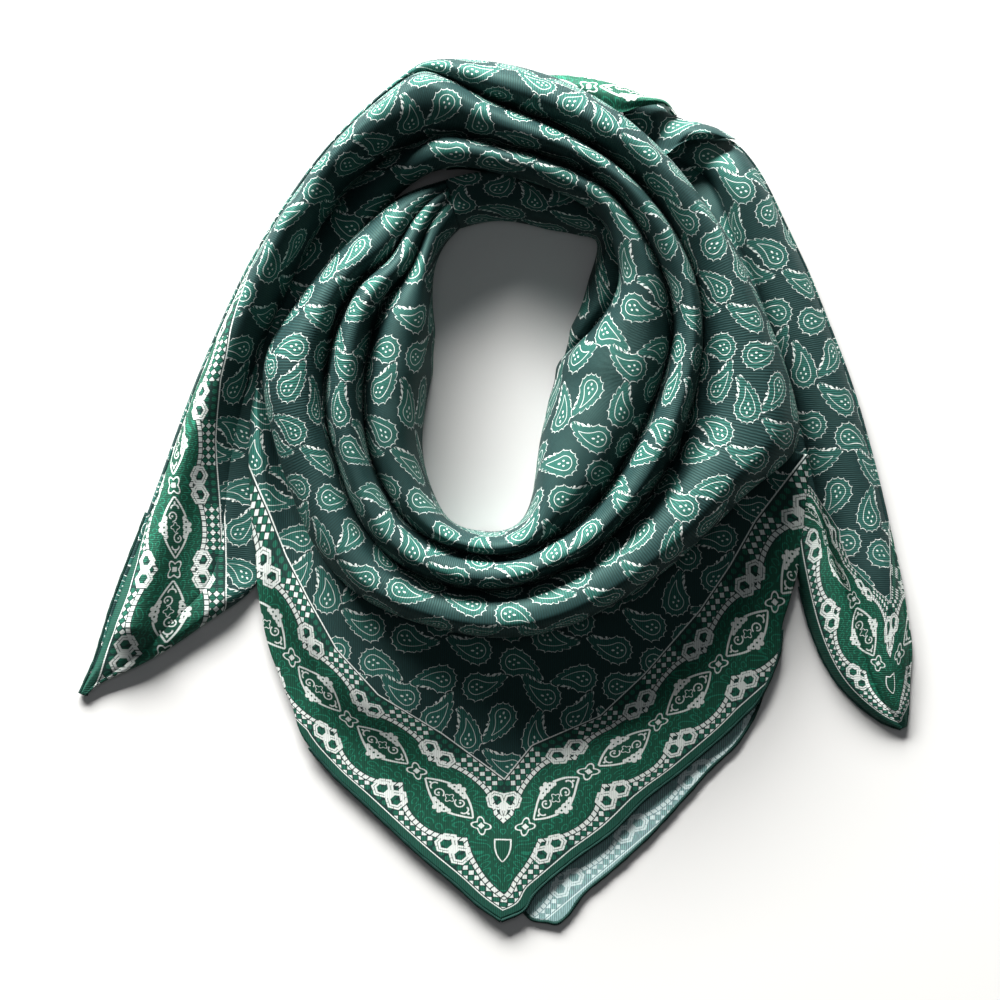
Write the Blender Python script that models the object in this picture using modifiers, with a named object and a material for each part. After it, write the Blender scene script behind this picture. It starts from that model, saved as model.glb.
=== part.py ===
"""Square silk bandana, folded to a triangle, wound once round and laid flat.

The cloth is one square. Here it is modelled as the stretches of it that show, each a thin wall:
the wound band in three soft rolls round the neck hole, the two tails, the front point in two
layers, and the small folds where the right tail comes out from behind. The layers that nothing
shows share rounded solids under these walls, flat where they rest.

Plan positions are millimetres: +X to the right, +Y to the top of the laid-out piece, +Z up.
The origin is the middle of the bounding box, on the resting plane.
"""

import math

import bmesh
import bpy
import numpy as np

MM = 0.001

# ---------------------------------------------------------------- driving sizes (mm)
CLOTH_WALL = 1.5            # thickness of every cloth wall
LAYER_GAP = 0.4             # air between a wall and the layers under it
SEAM_GAP = 0.6              # air between two stretches of the same band
HEM_RADIUS = 1.1            # rolled hem, as a round cord
HEM_CLEARANCE = 0.35        # air between a hem and the edge that it finishes
RING_CENTRE = (1.6, 54.5)   # plan centre of the wound band

LIP_TUCK = 5.0              # how far the outer roll turns back under itself
LIP_DROP = 2.5              # and how far down it goes there
TUCK_UNDER = 7.0            # how far the front point reaches in under the outer roll
LAYERS_SETBACK = 2.5        # the hidden layers stop this far short of what is tucked under
LAYERS_REACH = 2.6          # sideways clearance between a wall and the layers under it
LAYERS_DROP = 2.6           # and the clearance straight down
LOWEST_TOP = 3.0            # top of a wall that lies on one more layer
FOOT_HEIGHT = 1.2           # where the walls round the hole end above the resting plane
LAYERS_LOWEST = 0.8         # the hidden layers are nowhere thinner than this
FOOT_SETBACK = 1.0          # their foot round the hole stands this much further in
LEAST_STEP = 0.6            # smallest step between two points of one of their sections
OUTER_FALL = 0.9            # share of their height that they lose out to their outer edge
SECTION_LOOKS = (-0.6, -0.3, 0.0, 0.3, 0.6)     # where the walls are looked at, in steps
CLOSING_TURN = 2.0          # degrees past the band's end at which the ring closes

RING_CREST_PLACES = (0.58, 0.50, 0.42)          # the crest of each roll between its two edges,
TAIL_CREST_PLACES = (0.50, 0.50, 0.55)          # 0 at the inner one and 1 at the outer one
ROLL_POWER = 2.4            # higher: fuller rolls and tighter grooves

# ---------------------------------------------------------------- the wound band, section by section
# azimuth in degrees about the ring's centre, running on past 360 because the band is a spiral;
# inner edge, the two grooves and the outer lip as radii; crest heights of the three rolls;
# sink is how far the grooves go down; heights of the inner edge and of the lip.
BAND_COLUMNS = ("azimuth", "edge", "inner_groove", "outer_groove", "lip",
                "inner_crest", "middle_crest", "outer_crest", "sink", "edge_height", "lip_height")
BAND_SECTIONS = (
    (106, 66.0, 80.0, 84.0, 88.5, 19, 20, 19, 1, 1.2, 9),
    (112, 63.0, 76.0, 82.0, 89.0, 20, 21, 20, 2, 1.2, 9),
    (120, 57.0, 67.5, 77.5, 90.0, 24, 25, 24, 3, 1.2, 10),
    (135, 43.0, 59.5, 70.0, 88.5, 30, 31, 29, 6, 1.2, 11),
    (150, 33.5, 59.5, 74.5, 91.5, 34, 35, 31, 10, 1.2, 12),
    (165, 31.0, 59.0, 75.5, 98.0, 34, 36, 32, 12, 1.2, 13),
    (180, 30.0, 60.0, 77.5, 107.0, 34, 36, 32, 12, 1.2, 13),
    (195, 33.0, 63.5, 81.0, 106.0, 33, 35, 31, 12, 1.2, 14),
    (210, 39.0, 68.5, 84.5, 108.5, 32, 34, 30, 12, 1.2, 14),
    (225, 49.5, 74.5, 91.5, 115.5, 30, 33, 30, 11, 1.2, 14),
    (240, 61.5, 81.0, 98.0, 120.0, 29, 32, 29, 10, 1.2, 14),
    (255, 73.0, 83.5, 100.0, 119.5, 28, 31, 29, 10, 1.2, 14),
    (270, 73.0, 84.0, 99.0, 120.5, 27, 31, 30, 10, 1.2, 15),
    (282, 65.5, 81.5, 96.0, 120.0, 28, 32, 31, 11, 1.2, 16),
    (288, 50.5, 79.5, 94.5, 118.5, 29, 33, 32, 11, 1.2, 17),
    (294, 42.0, 77.5, 92.5, 117.5, 30, 34, 33, 12, 1.2, 17),
    (300, 36.0, 75.5, 91.0, 116.5, 31, 34, 34, 12, 1.2, 18),
    (315, 29.0, 71.0, 88.0, 117.0, 32, 36, 35, 12, 1.2, 19),
    (330, 25.5, 68.5, 87.0, 121.5, 33, 37, 36, 12, 1.2, 19),
    (338, 25.0, 69.0, 87.0, 128.0, 33, 38, 36, 12, 1.2, 18),
    (345, 25.0, 70.0, 87.0, 140.5, 33, 38, 36, 12, 1.2, 16),
    (352, 25.0, 71.5, 88.0, 134.5, 33, 38, 36, 12, 1.2, 15),
    (360, 25.0, 74.0, 89.5, 128.5, 34, 38, 36, 12, 1.2, 14),
    (372, 28.5, 79.0, 93.0, 121.5, 34, 38, 36, 12, 2.0, 14),
    (382, 43.0, 82.5, 96.0, 119.0, 35, 38, 36, 11, 9.0, 14),
    (390, 57.5, 84.5, 98.0, 118.5, 36, 39, 36, 11, 16.0, 14),
    (398, 68.5, 86.5, 99.5, 118.0, 37, 40, 37, 11, 20.0, 14),
    (405, 72.5, 88.0, 101.0, 119.5, 38, 41, 38, 11, 22.0, 14),
    (417, 81.0, 93.0, 104.5, 123.5, 38, 42, 39, 11, 24.0, 14),
    (434, 83.0, 96.0, 110.0, 131.0, 38, 42, 40, 11, 26.0, 14),
    (450, 86.5, 99.0, 116.0, 137.5, 38, 41, 40, 11, 26.0, 13),
    (461, 92.0, 107.0, 126.0, 142.5, 37, 40, 38, 11, 26.0, 12),
)

# The band's stretches that show, each from one azimuth to another.
BAND_STRETCHES = (
    ("wound_band_left", 106, 205),
    ("wound_band_front", 205, 302),
    ("wound_band_right", 302, 392),
    ("wound_band_top", 392, 461),
)
SECTION_STEP = 7.5          # degrees between two sections of the walls

# The start of the band, which shows as a wall inside the hole, under the rolls of the top.
NECK_LAYER_COLUMNS = ("azimuth", "hole", "shoulder", "top", "top_height")
NECK_LAYER_SECTIONS = (
    (18, 31.5, 36.0, 38.5, 3.0),
    (22, 33.0, 40.0, 45.0, 6.0),
    (30, 36.5, 52.0, 58.5, 12.0),
    (38, 46.0, 64.0, 70.0, 15.5),
    (45, 56.0, 70.0, 75.0, 17.5),
    (54, 72.5, 79.0, 82.0, 19.0),
    (60, 70.0, 79.0, 84.0, 20.0),
    (74, 66.5, 78.0, 85.5, 20.0),
    (90, 67.0, 78.0, 88.5, 20.0),
    (105.5, 66.0, 74.0, 88.0, 19.0),
)
NECK_LAYER_POWER = 2.2

# ---------------------------------------------------------------- the tails, section by section
# Plan points of the outer and the inner end of each section; two valleys as shares of the
# section from its inner end; the three crests, the sink of the valleys, and both edge heights.
TAIL_COLUMNS = ("outer_x", "outer_y", "inner_x", "inner_y", "inner_valley", "outer_valley",
                "inner_crest", "middle_crest", "outer_crest", "sink", "inner_height", "outer_height")
LEFT_TAIL_SECTIONS = (
    (-27.2, 194.4, -16.4, 144.4, 0.30, 0.67, 37, 40, 38, 11, 26, 12),
    (-43.5, 185.0, -30.0, 143.5, 0.30, 0.58, 28, 34, 34, 9, 19, 9),
    (-66.0, 166.0, -45.8, 135.2, 0.32, 0.60, 13, 25, 30, 6, 7, 6),
    (-83.0, 146.7, -58.2, 121.8, 0.33, 0.56, 8.5, 16, 25, 4.5, 5.5, 5),
    (-99.7, 122.0, -70.0, 103.2, 0.28, 0.46, 7, 12, 21, 2.5, 6, 4),
    (-111.0, 103.0, -80.0, 87.0, 0.25, 0.42, 5.5, 10, 18, 2, 4.5, 4),
    (-120.0, 84.6, -90.5, 68.5, 0.25, 0.40, 5, 9, 16, 1.5, 4, 3.5),
    (-131.2, 59.0, -100.0, 49.0, 0.25, 0.40, 4.5, 8, 13, 1, 3.5, 3.5),
    (-141.0, 34.2, -105.0, 25.5, 0.30, 0.50, 4.2, 8, 11, 0.8, 3.2, 3.2),
    (-151.4, 5.0, -106.5, 0.5, 0.30, 0.50, 4.2, 8, 9, 0.8, 3.2, 3.2),
    (-160.4, -18.9, -106.0, -24.3, 0.30, 0.55, 4.4, 7.5, 7.5, 0.8, 3.4, 3.2),
    (-168.5, -39.5, -108.6, -44.1, 0.30, 0.55, 5.5, 7, 7, 0.6, 4.5, 3.2),
    (-174.0, -55.0, -125.3, -55.4, 0.30, 0.55, 6.5, 6.5, 6, 0.4, 5.5, 3.2),
    (-178.0, -69.0, -142.4, -67.9, 0.30, 0.55, 5.5, 5.5, 5, 0.3, 4.5, 3.1),
    (-181.6, -79.5, -161.3, -79.2, 0.30, 0.55, 4.2, 4.5, 4, 0.2, 3.6, 3.1),
    (-184.7, -85.6, -177.0, -85.4, 0.30, 0.55, 3.4, 3.5, 3.4, 0.1, 3.1, 3.0),
    (-187.2, -91.6, -184.6, -92.4, 0.30, 0.55, 3.1, 3.1, 3.1, 0.0, 3.0, 3.0),
)
RIGHT_TAIL_SECTIONS = (
    (109.5, 156.6, 89.5, 135.5, 0.28, 0.62, 10.7, 20, 17, 2, 9, 5),
    (119.5, 142.2, 96.5, 123.5, 0.28, 0.62, 10.7, 19, 16, 2, 9, 5),
    (129.8, 121.0, 104.0, 108.0, 0.28, 0.62, 10.7, 17, 14, 2, 9, 4.5),
    (140.2, 99.5, 112.5, 90.5, 0.28, 0.62, 10.7, 15, 13, 2, 9, 4.5),
    (150.1, 74.7, 119.0, 67.5, 0.28, 0.62, 10.4, 14, 12, 2, 9, 4),
    (160.4, 47.7, 125.0, 46.4, 0.28, 0.62, 7.5, 13, 11, 1.5, 6.5, 4),
    (169.4, 16.2, 132.5, 16.2, 0.28, 0.62, 4.5, 12, 10, 1, 3.5, 3.6),
    (174.4, -4.0, 134.0, -6.3, 0.28, 0.60, 4.2, 11, 10, 1, 3.2, 3.4),
    (178.4, -22.0, 133.0, -25.6, 0.30, 0.58, 4.5, 10, 10, 1.2, 3.4, 3.2),
    (182.5, -40.0, 135.4, -39.2, 0.35, 0.56, 7, 9, 9.5, 3.5, 5, 3.2),
    (185.2, -57.2, 138.9, -54.5, 0.38, 0.56, 6.5, 8, 8.5, 3, 4.5, 3.2),
    (187.4, -71.6, 144.3, -70.7, 0.40, 0.60, 6, 7, 7.5, 2, 4, 3.2),
    (186.2, -84.2, 152.8, -86.0, 0.40, 0.60, 5, 6, 6, 1.5, 3.6, 3.1),
    (185.7, -94.0, 164.5, -97.7, 0.40, 0.60, 4.2, 5, 5, 0.8, 3.3, 3.1),
    (185.3, -100.8, 173.5, -104.0, 0.40, 0.60, 3.5, 4, 4, 0.3, 3.1, 3.0),
    (184.4, -106.2, 181.6, -107.1, 0.40, 0.60, 3.1, 3.1, 3.1, 0.0, 3.0, 3.0),
)

# ---------------------------------------------------------------- the front point
# Radii from the ring's centre to the edge of the top layer, and its heights at the band,
# halfway and at that edge.
POINT_COLUMNS = ("azimuth", "outline", "band_height", "middle_height", "edge_height")
POINT_SECTIONS = (
    (190, 113.5, 10.4, 8.5, 7.5),
    (196, 117.5, 10.6, 10.0, 7.5),
    (202, 121.0, 10.7, 11.5, 7.5),
    (210, 128.5, 10.7, 13.0, 7.5),
    (217, 137.0, 10.7, 13.0, 6.8),
    (224, 150.0, 10.7, 12.0, 4.6),
    (231, 163.0, 10.7, 10.5, 3.4),
    (236, 171.5, 10.7, 9.5, 3.3),
    (241.5, 182.0, 10.7, 8.5, 3.3),
    (247.5, 191.5, 10.7, 7.5, 3.3),
    (252.4, 199.5, 10.7, 6.8, 3.3),
    (260.5, 215.5, 10.5, 6.0, 3.3),
    (265, 227.0, 10.2, 5.6, 3.3),
    (270.1, 243.0, 9.8, 5.2, 3.3),
    (273.7, 231.0, 9.4, 5.2, 3.3),
    (278.4, 218.0, 9.0, 5.2, 3.3),
    (283.8, 208.5, 8.0, 5.4, 3.3),
    (288.6, 199.5, 8.0, 5.6, 3.3),
    (294.2, 193.5, 8.2, 5.8, 3.3),
    (301.8, 188.0, 8.4, 6.0, 3.3),
    (307.6, 184.5, 8.6, 6.5, 3.3),
    (311.7, 179.5, 8.8, 7.5, 3.3),
    (317.9, 168.0, 8.8, 9.0, 3.4),
    (325.4, 162.0, 8.8, 11.0, 6.5),
    (333.7, 152.0, 8.4, 11.0, 7.5),
    (340.3, 146.5, 8.0, 10.0, 7.5),
    (344.2, 143.5, 7.8, 8.5, 7.5),
)
# The layer under it rests on the surface and shows past the right hem, reverse side up.
UNDER_POINT_COLUMNS = ("azimuth", "outline")
UNDER_POINT_SECTIONS = (
    (200, 112.0),
    (217, 127.0),
    (231, 152.0),
    (241.5, 172.0),
    (252.4, 188.0),
    (262, 209.0),
    (268.5, 227.0),
    (272.2, 240.0),
    (275.8, 250.3),
    (279.0, 236.0),
    (282.8, 227.5),
    (287.8, 217.5),
    (293.5, 207.0),
    (297.8, 200.5),
    (302.3, 196.5),
    (307.0, 189.5),
    (311.0, 176.0),
    (322, 156.0),
    (335, 141.0),
)

# ---------------------------------------------------------------- small folds behind, top right
# Sections from left to right: plan points of the far edge and the near edge, and the crest.
BACK_FOLD_COLUMNS = ("far_x", "far_y", "near_x", "near_y", "far_height", "crest", "near_height")
UPPER_BACK_FOLD_SECTIONS = (
    (22.0, 186.5, 24.0, 180.0, 4.0, 9.0, 10.7),
    (36.0, 186.0, 34.0, 175.5, 4.0, 10.0, 10.8),
    (48.0, 183.0, 45.0, 170.5, 5.0, 10.6, 10.8),
    (58.5, 180.0, 53.5, 167.5, 7.0, 13.0, 10.8),
    (66.5, 176.8, 60.5, 166.0, 9.0, 15.0, 10.8),
    (75.8, 174.8, 70.0, 166.5, 9.0, 13.5, 10.6),
    (80.0, 169.4, 76.0, 164.8, 7.0, 9.0, 7.0),
)
LOWER_BACK_FOLD_SECTIONS = (
    (58.0, 162.5, 61.0, 154.0, 3.5, 5.0, 5.0),
    (72.0, 161.0, 68.0, 148.5, 4.0, 6.5, 8.0),
    (82.5, 164.2, 73.5, 143.5, 5.0, 11.4, 10.7),
    (90.5, 164.8, 79.5, 141.8, 7.0, 13.4, 10.8),
    (98.5, 162.5, 85.3, 138.9, 6.0, 13.8, 10.8),
    (105.5, 158.8, 89.5, 140.0, 5.0, 12.6, 10.6),
)

# ---------------------------------------------------------------- colours of the plain model
COLOURS = {
    "silk_face": ((0.035, 0.120, 0.095), 0.55),
    "silk_reverse": ((0.230, 0.420, 0.410), 0.60),
    "rolled_hem": ((0.015, 0.060, 0.050), 0.60),
    "silk_inside": ((0.030, 0.100, 0.080), 0.65),
}


def clear_scene():
    for item in list(bpy.data.objects):
        bpy.data.objects.remove(item, do_unlink=True)


def make_material(name, slot):
    colour, roughness = COLOURS[slot]
    material = bpy.data.materials.new(name + "_" + slot)
    material.use_nodes = True
    shader = material.node_tree.nodes["Principled BSDF"]
    shader.inputs["Base Color"].default_value = (*colour, 1.0)
    shader.inputs["Roughness"].default_value = roughness
    shader.inputs["Metallic"].default_value = 0.0
    return material


def link_mesh(name, vertices, faces, slot, collection):
    """One object from points in millimetres, shaded smooth."""
    mesh = bpy.data.meshes.new(name)
    mesh.from_pydata([tuple(p * MM) for p in np.asarray(vertices)], [], faces)
    mesh.update()
    mesh.shade_smooth()
    mesh.materials.append(make_material(name, slot))
    piece = bpy.data.objects.new(name, mesh)
    collection.objects.link(piece)
    return piece


# ---------------------------------------------------------------- tables and curves
def column(sections, columns, name):
    return np.array([row[columns.index(name)] for row in sections], dtype=float)


def smooth_column(sections, columns, name, positions, along=None):
    """A column read as a smooth curve: cubic pieces whose slopes never overshoot the rows."""
    x = np.arange(len(sections), dtype=float) if along is None else along
    y = column(sections, columns, name)
    secants = np.diff(y) / np.diff(x)
    slopes = np.zeros_like(y)
    slopes[0], slopes[-1] = secants[0], secants[-1]
    before, after = secants[:-1], secants[1:]
    same_way = before * after > 0
    total = np.where(same_way, before + after, 1.0)
    slopes[1:-1] = np.where(same_way, 2.0 * before * after / total, 0.0)
    place = np.clip(np.searchsorted(x, positions, side="right") - 1, 0, len(x) - 2)
    width = x[place + 1] - x[place]
    t = (positions - x[place]) / width
    return ((2 * t**3 - 3 * t**2 + 1) * y[place] + (t**3 - 2 * t**2 + t) * width * slopes[place]
            + (3 * t**2 - 2 * t**3) * y[place + 1] + (t**3 - t**2) * width * slopes[place + 1])


def read_sections(sections, columns, positions, along=None):
    return {name: smooth_column(sections, columns, name, positions, along) for name in columns}


def azimuth_steps(start, end, step):
    count = max(2, int(round((end - start) / step)) + 1)
    return np.linspace(start, end, count)


def polar(azimuths, radii, heights):
    """Points from azimuth in degrees and radius about the ring's centre."""
    angle = np.radians(azimuths)
    return np.stack([RING_CENTRE[0] + radii * np.cos(angle),
                     RING_CENTRE[1] + radii * np.sin(angle),
                     heights + 0.0 * radii], axis=-1)


def rise(low, low_height, high, high_height, count, power):
    """Half a roll from its low edge up to its crest: height falls off as a power of the way."""
    way = 1.0 - np.cos(np.linspace(0.0, math.pi / 2, count))
    places = [low + (high - low) * s for s in way]
    heights = [low_height + (high_height - low_height) * (1.0 - (1.0 - s) ** power) for s in way]
    return places, heights


def roll_profile(at, counts, power, crest_places=None):
    """Places and heights across three rolls, from the inner edge to the lip.

    at holds edge, inner_groove, outer_groove, lip, the crests, sink and the edge heights.
    """
    inner_at, middle_at, outer_at = crest_places or RING_CREST_PLACES
    inner = at["edge"] + inner_at * (at["inner_groove"] - at["edge"])
    middle = at["inner_groove"] + middle_at * (at["outer_groove"] - at["inner_groove"])
    outer = at["outer_groove"] + outer_at * (at["lip"] - at["outer_groove"])
    groove_1 = np.minimum(at["inner_crest"], at["middle_crest"]) - at["sink"]
    groove_2 = np.minimum(at["middle_crest"], at["outer_crest"]) - at["sink"]
    legs = (
        (at["edge"], at["edge_height"], inner, at["inner_crest"], counts[0], False),
        (at["inner_groove"], groove_1, inner, at["inner_crest"], counts[1], True),
        (at["inner_groove"], groove_1, middle, at["middle_crest"], counts[1], False),
        (at["outer_groove"], groove_2, middle, at["middle_crest"], counts[1], True),
        (at["outer_groove"], groove_2, outer, at["outer_crest"], counts[1], False),
        (at["lip"], at["lip_height"], outer, at["outer_crest"], counts[2], True),
    )
    places, heights = [], []
    for low, low_height, high, high_height, count, downward in legs:
        leg_places, leg_heights = rise(low, low_height, high, high_height, count, power)
        if downward:
            leg_places, leg_heights = leg_places[::-1], leg_heights[::-1]
        skip = 1 if places else 0
        places += leg_places[skip:]
        heights += leg_heights[skip:]
    return places, heights


# ---------------------------------------------------------------- meshes from grids
def grid_faces(rows, columns):
    return [(i * columns + j, i * columns + j + 1, (i + 1) * columns + j + 1, (i + 1) * columns + j)
            for i in range(rows - 1) for j in range(columns - 1)]


def upward(grid):
    """The grid with its second direction turned round if its faces would look down."""
    along = grid[1:, 0] - grid[:-1, 0]
    across = grid[:-1, 1] - grid[:-1, 0]
    turn = np.cross(across, along)[:, 2].sum()
    return grid if turn > 0 else grid[:, ::-1]


def cloth_wall(name, grid, slot, collection, wall=CLOTH_WALL):
    """A wall of cloth whose outer face is the grid: an open surface with Solidify below it."""
    grid = upward(grid)
    rows, columns = grid.shape[:2]
    piece = link_mesh(name, grid.reshape(-1, 3), grid_faces(rows, columns), slot, collection)
    solidify = piece.modifiers.new("cloth wall", "SOLIDIFY")
    solidify.thickness = wall * MM
    solidify.offset = -1.0
    solidify.use_rim = True
    return piece


def filled_layers(name, grid, slot, collection):
    """Hidden layers as one solid: the grid is its top, the resting plane its flat underside."""
    grid = upward(grid)
    rows, columns = grid.shape[:2]
    count = rows * columns
    floor = grid.copy()
    floor[..., 2] = 0.0
    vertices = np.concatenate([grid.reshape(-1, 3), floor.reshape(-1, 3)])
    top = grid_faces(rows, columns)
    under = [tuple(count + v for v in reversed(face)) for face in top]
    rim = ([(i, 0) for i in range(rows)] + [(rows - 1, j) for j in range(1, columns)]
           + [(i, columns - 1) for i in range(rows - 2, -1, -1)]
           + [(0, j) for j in range(columns - 2, 0, -1)])
    ring = [i * columns + j for i, j in rim]
    sides = [(b, a, a + count, b + count) for a, b in zip(ring, ring[1:] + ring[:1])]
    piece = link_mesh(name, vertices, top + under + sides, slot, collection)
    face_outward(piece.data)
    return piece


def face_outward(mesh):
    work = bmesh.new()
    work.from_mesh(mesh)
    bmesh.ops.recalc_face_normals(work, faces=work.faces)
    work.to_mesh(mesh)
    work.free()


def hem_cord(name, path, collection):
    """A rolled hem: a round cord along an edge, with closed ends."""
    curve = bpy.data.curves.new(name, "CURVE")
    curve.dimensions = "3D"
    curve.bevel_depth = HEM_RADIUS * MM
    curve.bevel_resolution = 2
    curve.use_fill_caps = True
    spline = curve.splines.new("POLY")
    spline.points.add(len(path) - 1)
    for point, place in zip(spline.points, path):
        point.co = (*(place * MM), 1.0)
    curve.materials.append(make_material(name, "rolled_hem"))
    piece = bpy.data.objects.new(name, curve)
    collection.objects.link(piece)
    return piece


def beside_edge(edge, inner, rests_at):
    """A path beside a sheet's edge, square to it in plan, clear of the sheet and of what is below."""
    along = np.gradient(edge, axis=0)
    outward = np.stack([along[:, 1], -along[:, 0], 0.0 * along[:, 0]], axis=1)
    outward /= np.linalg.norm(outward, axis=1, keepdims=True)
    if ((edge - inner) * outward).sum() < 0.0:
        outward = -outward
    path = edge + outward * (HEM_RADIUS + HEM_CLEARANCE)
    path[:, 2] = np.maximum(edge[:, 2] - CLOTH_WALL / 2, rests_at + HEM_RADIUS)
    return path


# ---------------------------------------------------------------- the wound band
def band_sections_at(azimuths):
    along = column(BAND_SECTIONS, BAND_COLUMNS, "azimuth")
    return read_sections(BAND_SECTIONS, BAND_COLUMNS, azimuths, along)


def band_grid(azimuths, counts):
    at = band_sections_at(azimuths)
    places, heights = roll_profile(at, counts, ROLL_POWER)
    for share in (0.55, 1.0):
        places.append(at["lip"] - LIP_TUCK * (1.0 - math.cos(share * math.pi / 2)))
        heights.append(at["lip_height"] - LIP_DROP * math.sin(share * math.pi / 2))
    return polar(azimuths[:, None], np.stack(places, axis=1), np.stack(heights, axis=1))


def draw_in_end(grid, end, neighbour):
    """Move an end section of a stretch back by half the seam, square to the section."""
    back = grid[neighbour] - grid[end]
    grid[end] += back / np.linalg.norm(back, axis=-1, keepdims=True) * SEAM_GAP / 2


def wound_band(collection):
    for name, start, end in BAND_STRETCHES:
        grid = band_grid(azimuth_steps(start, end, SECTION_STEP), (4, 3, 4))
        draw_in_end(grid, 0, 1)
        draw_in_end(grid, -1, -2)
        cloth_wall(name, grid, "silk_face", collection)


def neck_sections_at(azimuths):
    along = column(NECK_LAYER_SECTIONS, NECK_LAYER_COLUMNS, "azimuth")
    at = read_sections(NECK_LAYER_SECTIONS, NECK_LAYER_COLUMNS, azimuths, along)
    foot_height = FOOT_HEIGHT + 0.0 * azimuths
    places, heights = rise(at["hole"], foot_height, at["shoulder"], at["top_height"], 5, NECK_LAYER_POWER)
    return places + [at["top"]], heights + [at["top_height"]]


def neck_layer(collection):
    along = column(NECK_LAYER_SECTIONS, NECK_LAYER_COLUMNS, "azimuth")
    azimuths = azimuth_steps(along[0], along[-1], SECTION_STEP)
    places, heights = neck_sections_at(azimuths)
    grid = polar(azimuths[:, None], np.stack(places, axis=1), np.stack(heights, axis=1))
    cloth_wall("neck_layer", grid, "silk_face", collection)


def clear_below(places, heights, wanted):
    """Heights at the wanted places that stay clear of a section of wall above and beside them."""
    order = np.argsort(places)
    reach = np.linspace(-LAYERS_REACH, LAYERS_REACH, 13)
    around = wanted[:, None] + reach[None, :]
    above = np.interp(around, np.asarray(places)[order], np.asarray(heights)[order])
    return above.min(axis=1) - LAYERS_DROP


def spaced(values, lowest, highest, least):
    """The values in rising order, each at least the given step from the last, within the limits."""
    result = [lowest]
    for value in values:
        result.append(max(value, result[-1] + least))
    result.append(highest)
    for k in range(len(result) - 2, -1, -1):
        result[k] = min(result[k], result[k + 1] - least)
    return np.array(result)


def section_profiles(sections_at, azimuths):
    """Places and heights of a wall's sections as arrays, a row for each azimuth."""
    places, heights = sections_at(azimuths)
    return np.stack(places, axis=1), np.stack(heights, axis=1)


def band_profile_at(azimuths):
    return roll_profile(band_sections_at(azimuths), (8, 6, 6), ROLL_POWER)


def gathered_layers(collection):
    """The hidden layers of the wound band: a closed ring, flat below, inside the band's walls."""
    points = []
    first_neck, last_neck = NECK_LAYER_SECTIONS[0][0] + 360.0, NECK_LAYER_SECTIONS[-1][0] + 360.0
    first, last = BAND_SECTIONS[0][0], BAND_SECTIONS[-1][0]
    closing = last + CLOSING_TURN
    for azimuth in np.append(np.arange(first, last, SECTION_STEP), closing):
        looks = azimuth + SECTION_STEP * np.array(SECTION_LOOKS)
        walls = [(*section_profiles(band_profile_at, np.clip(looks, first, last)), None)]
        edge = walls[0][0][:, 0].max()
        foot = edge + LAYERS_REACH + FOOT_SETBACK
        shelf = foot + FOOT_SETBACK
        at = band_sections_at(np.clip(looks, first, last))
        beside_neck = azimuth if azimuth > first + SECTION_STEP else azimuth + 360.0
        if beside_neck > first_neck:
            neck_looks = np.clip(looks + beside_neck - azimuth, first_neck, last_neck) - 360.0
            neck_places, neck_heights = section_profiles(neck_sections_at, neck_looks)
            foot = neck_places[:, 0].max() + LAYERS_REACH + FOOT_SETBACK
            shelf = max(neck_places[:, -1].max(), edge) + LAYERS_REACH
            walls.append((neck_places, neck_heights, shelf))
        out = at["lip"].min() - TUCK_UNDER - LAYERS_SETBACK
        middle = len(looks) // 2
        edge, inner_groove, outer_groove, lip = (at[name][middle] for name in BAND_COLUMNS[1:5])
        crest = edge + RING_CREST_PLACES[0] * (inner_groove - edge)
        outer = outer_groove + RING_CREST_PLACES[2] * (lip - outer_groove)
        between = (inner_groove + outer_groove) / 2
        wanted = ((foot + shelf) / 2, shelf, crest, inner_groove, between, outer_groove, outer,
                  (outer + out) / 2)
        wanted = spaced(wanted, foot, out, LEAST_STEP)
        tops = []
        for wall_places, wall_heights, limit in walls:
            for k in range(len(looks)):
                below = clear_below(wall_places[k], wall_heights[k], wanted)
                tops.append(below if limit is None else np.where(wanted <= limit, below, np.inf))
        top = np.min(tops, axis=0)
        way = (wanted[-3:] - wanted[-3]) / (wanted[-1] - wanted[-3])
        top[-3:] = np.minimum(top[-3:], top[-3] * (1.0 - OUTER_FALL * way ** ROLL_POWER))
        if azimuth == closing:
            top = np.minimum(top, BAND_SECTIONS[0][BAND_COLUMNS.index("inner_crest")] - LAYERS_DROP)
        top = np.maximum(top, LAYERS_LOWEST)
        wanted = np.concatenate([[foot], wanted, [out]])
        top = np.concatenate([[0.0], top, [0.0]])
        points.append(polar(azimuth, wanted, top))
    points = np.array(points)
    rows, columns = points.shape[:2]
    faces = []
    for i in range(rows):
        following = (i + 1) % rows
        for j in range(columns):
            k = (j + 1) % columns
            faces.append((i * columns + j, i * columns + k,
                          following * columns + k, following * columns + j))
    piece = link_mesh("gathered_layers", points.reshape(-1, 3), faces, "silk_inside", collection)
    face_outward(piece.data)


# ---------------------------------------------------------------- tails
def tail_profile(at, counts):
    unit = np.ones_like(at["outer_x"])
    across = {
        "edge": 0.0 * unit, "inner_groove": at["inner_valley"], "outer_groove": at["outer_valley"],
        "lip": unit, "edge_height": at["inner_height"], "lip_height": at["outer_height"],
    }
    for name in ("inner_crest", "middle_crest", "outer_crest", "sink"):
        across[name] = at[name]
    shares, heights = roll_profile(across, counts, ROLL_POWER, TAIL_CREST_PLACES)
    return np.stack(shares, axis=1), np.maximum(np.stack(heights, axis=1), LOWEST_TOP)


def tail_points(at, shares, heights):
    x = at["inner_x"][:, None] + (at["outer_x"] - at["inner_x"])[:, None] * shares
    y = at["inner_y"][:, None] + (at["outer_y"] - at["inner_y"])[:, None] * shares
    return np.stack([x, y, heights], axis=-1)


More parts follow.
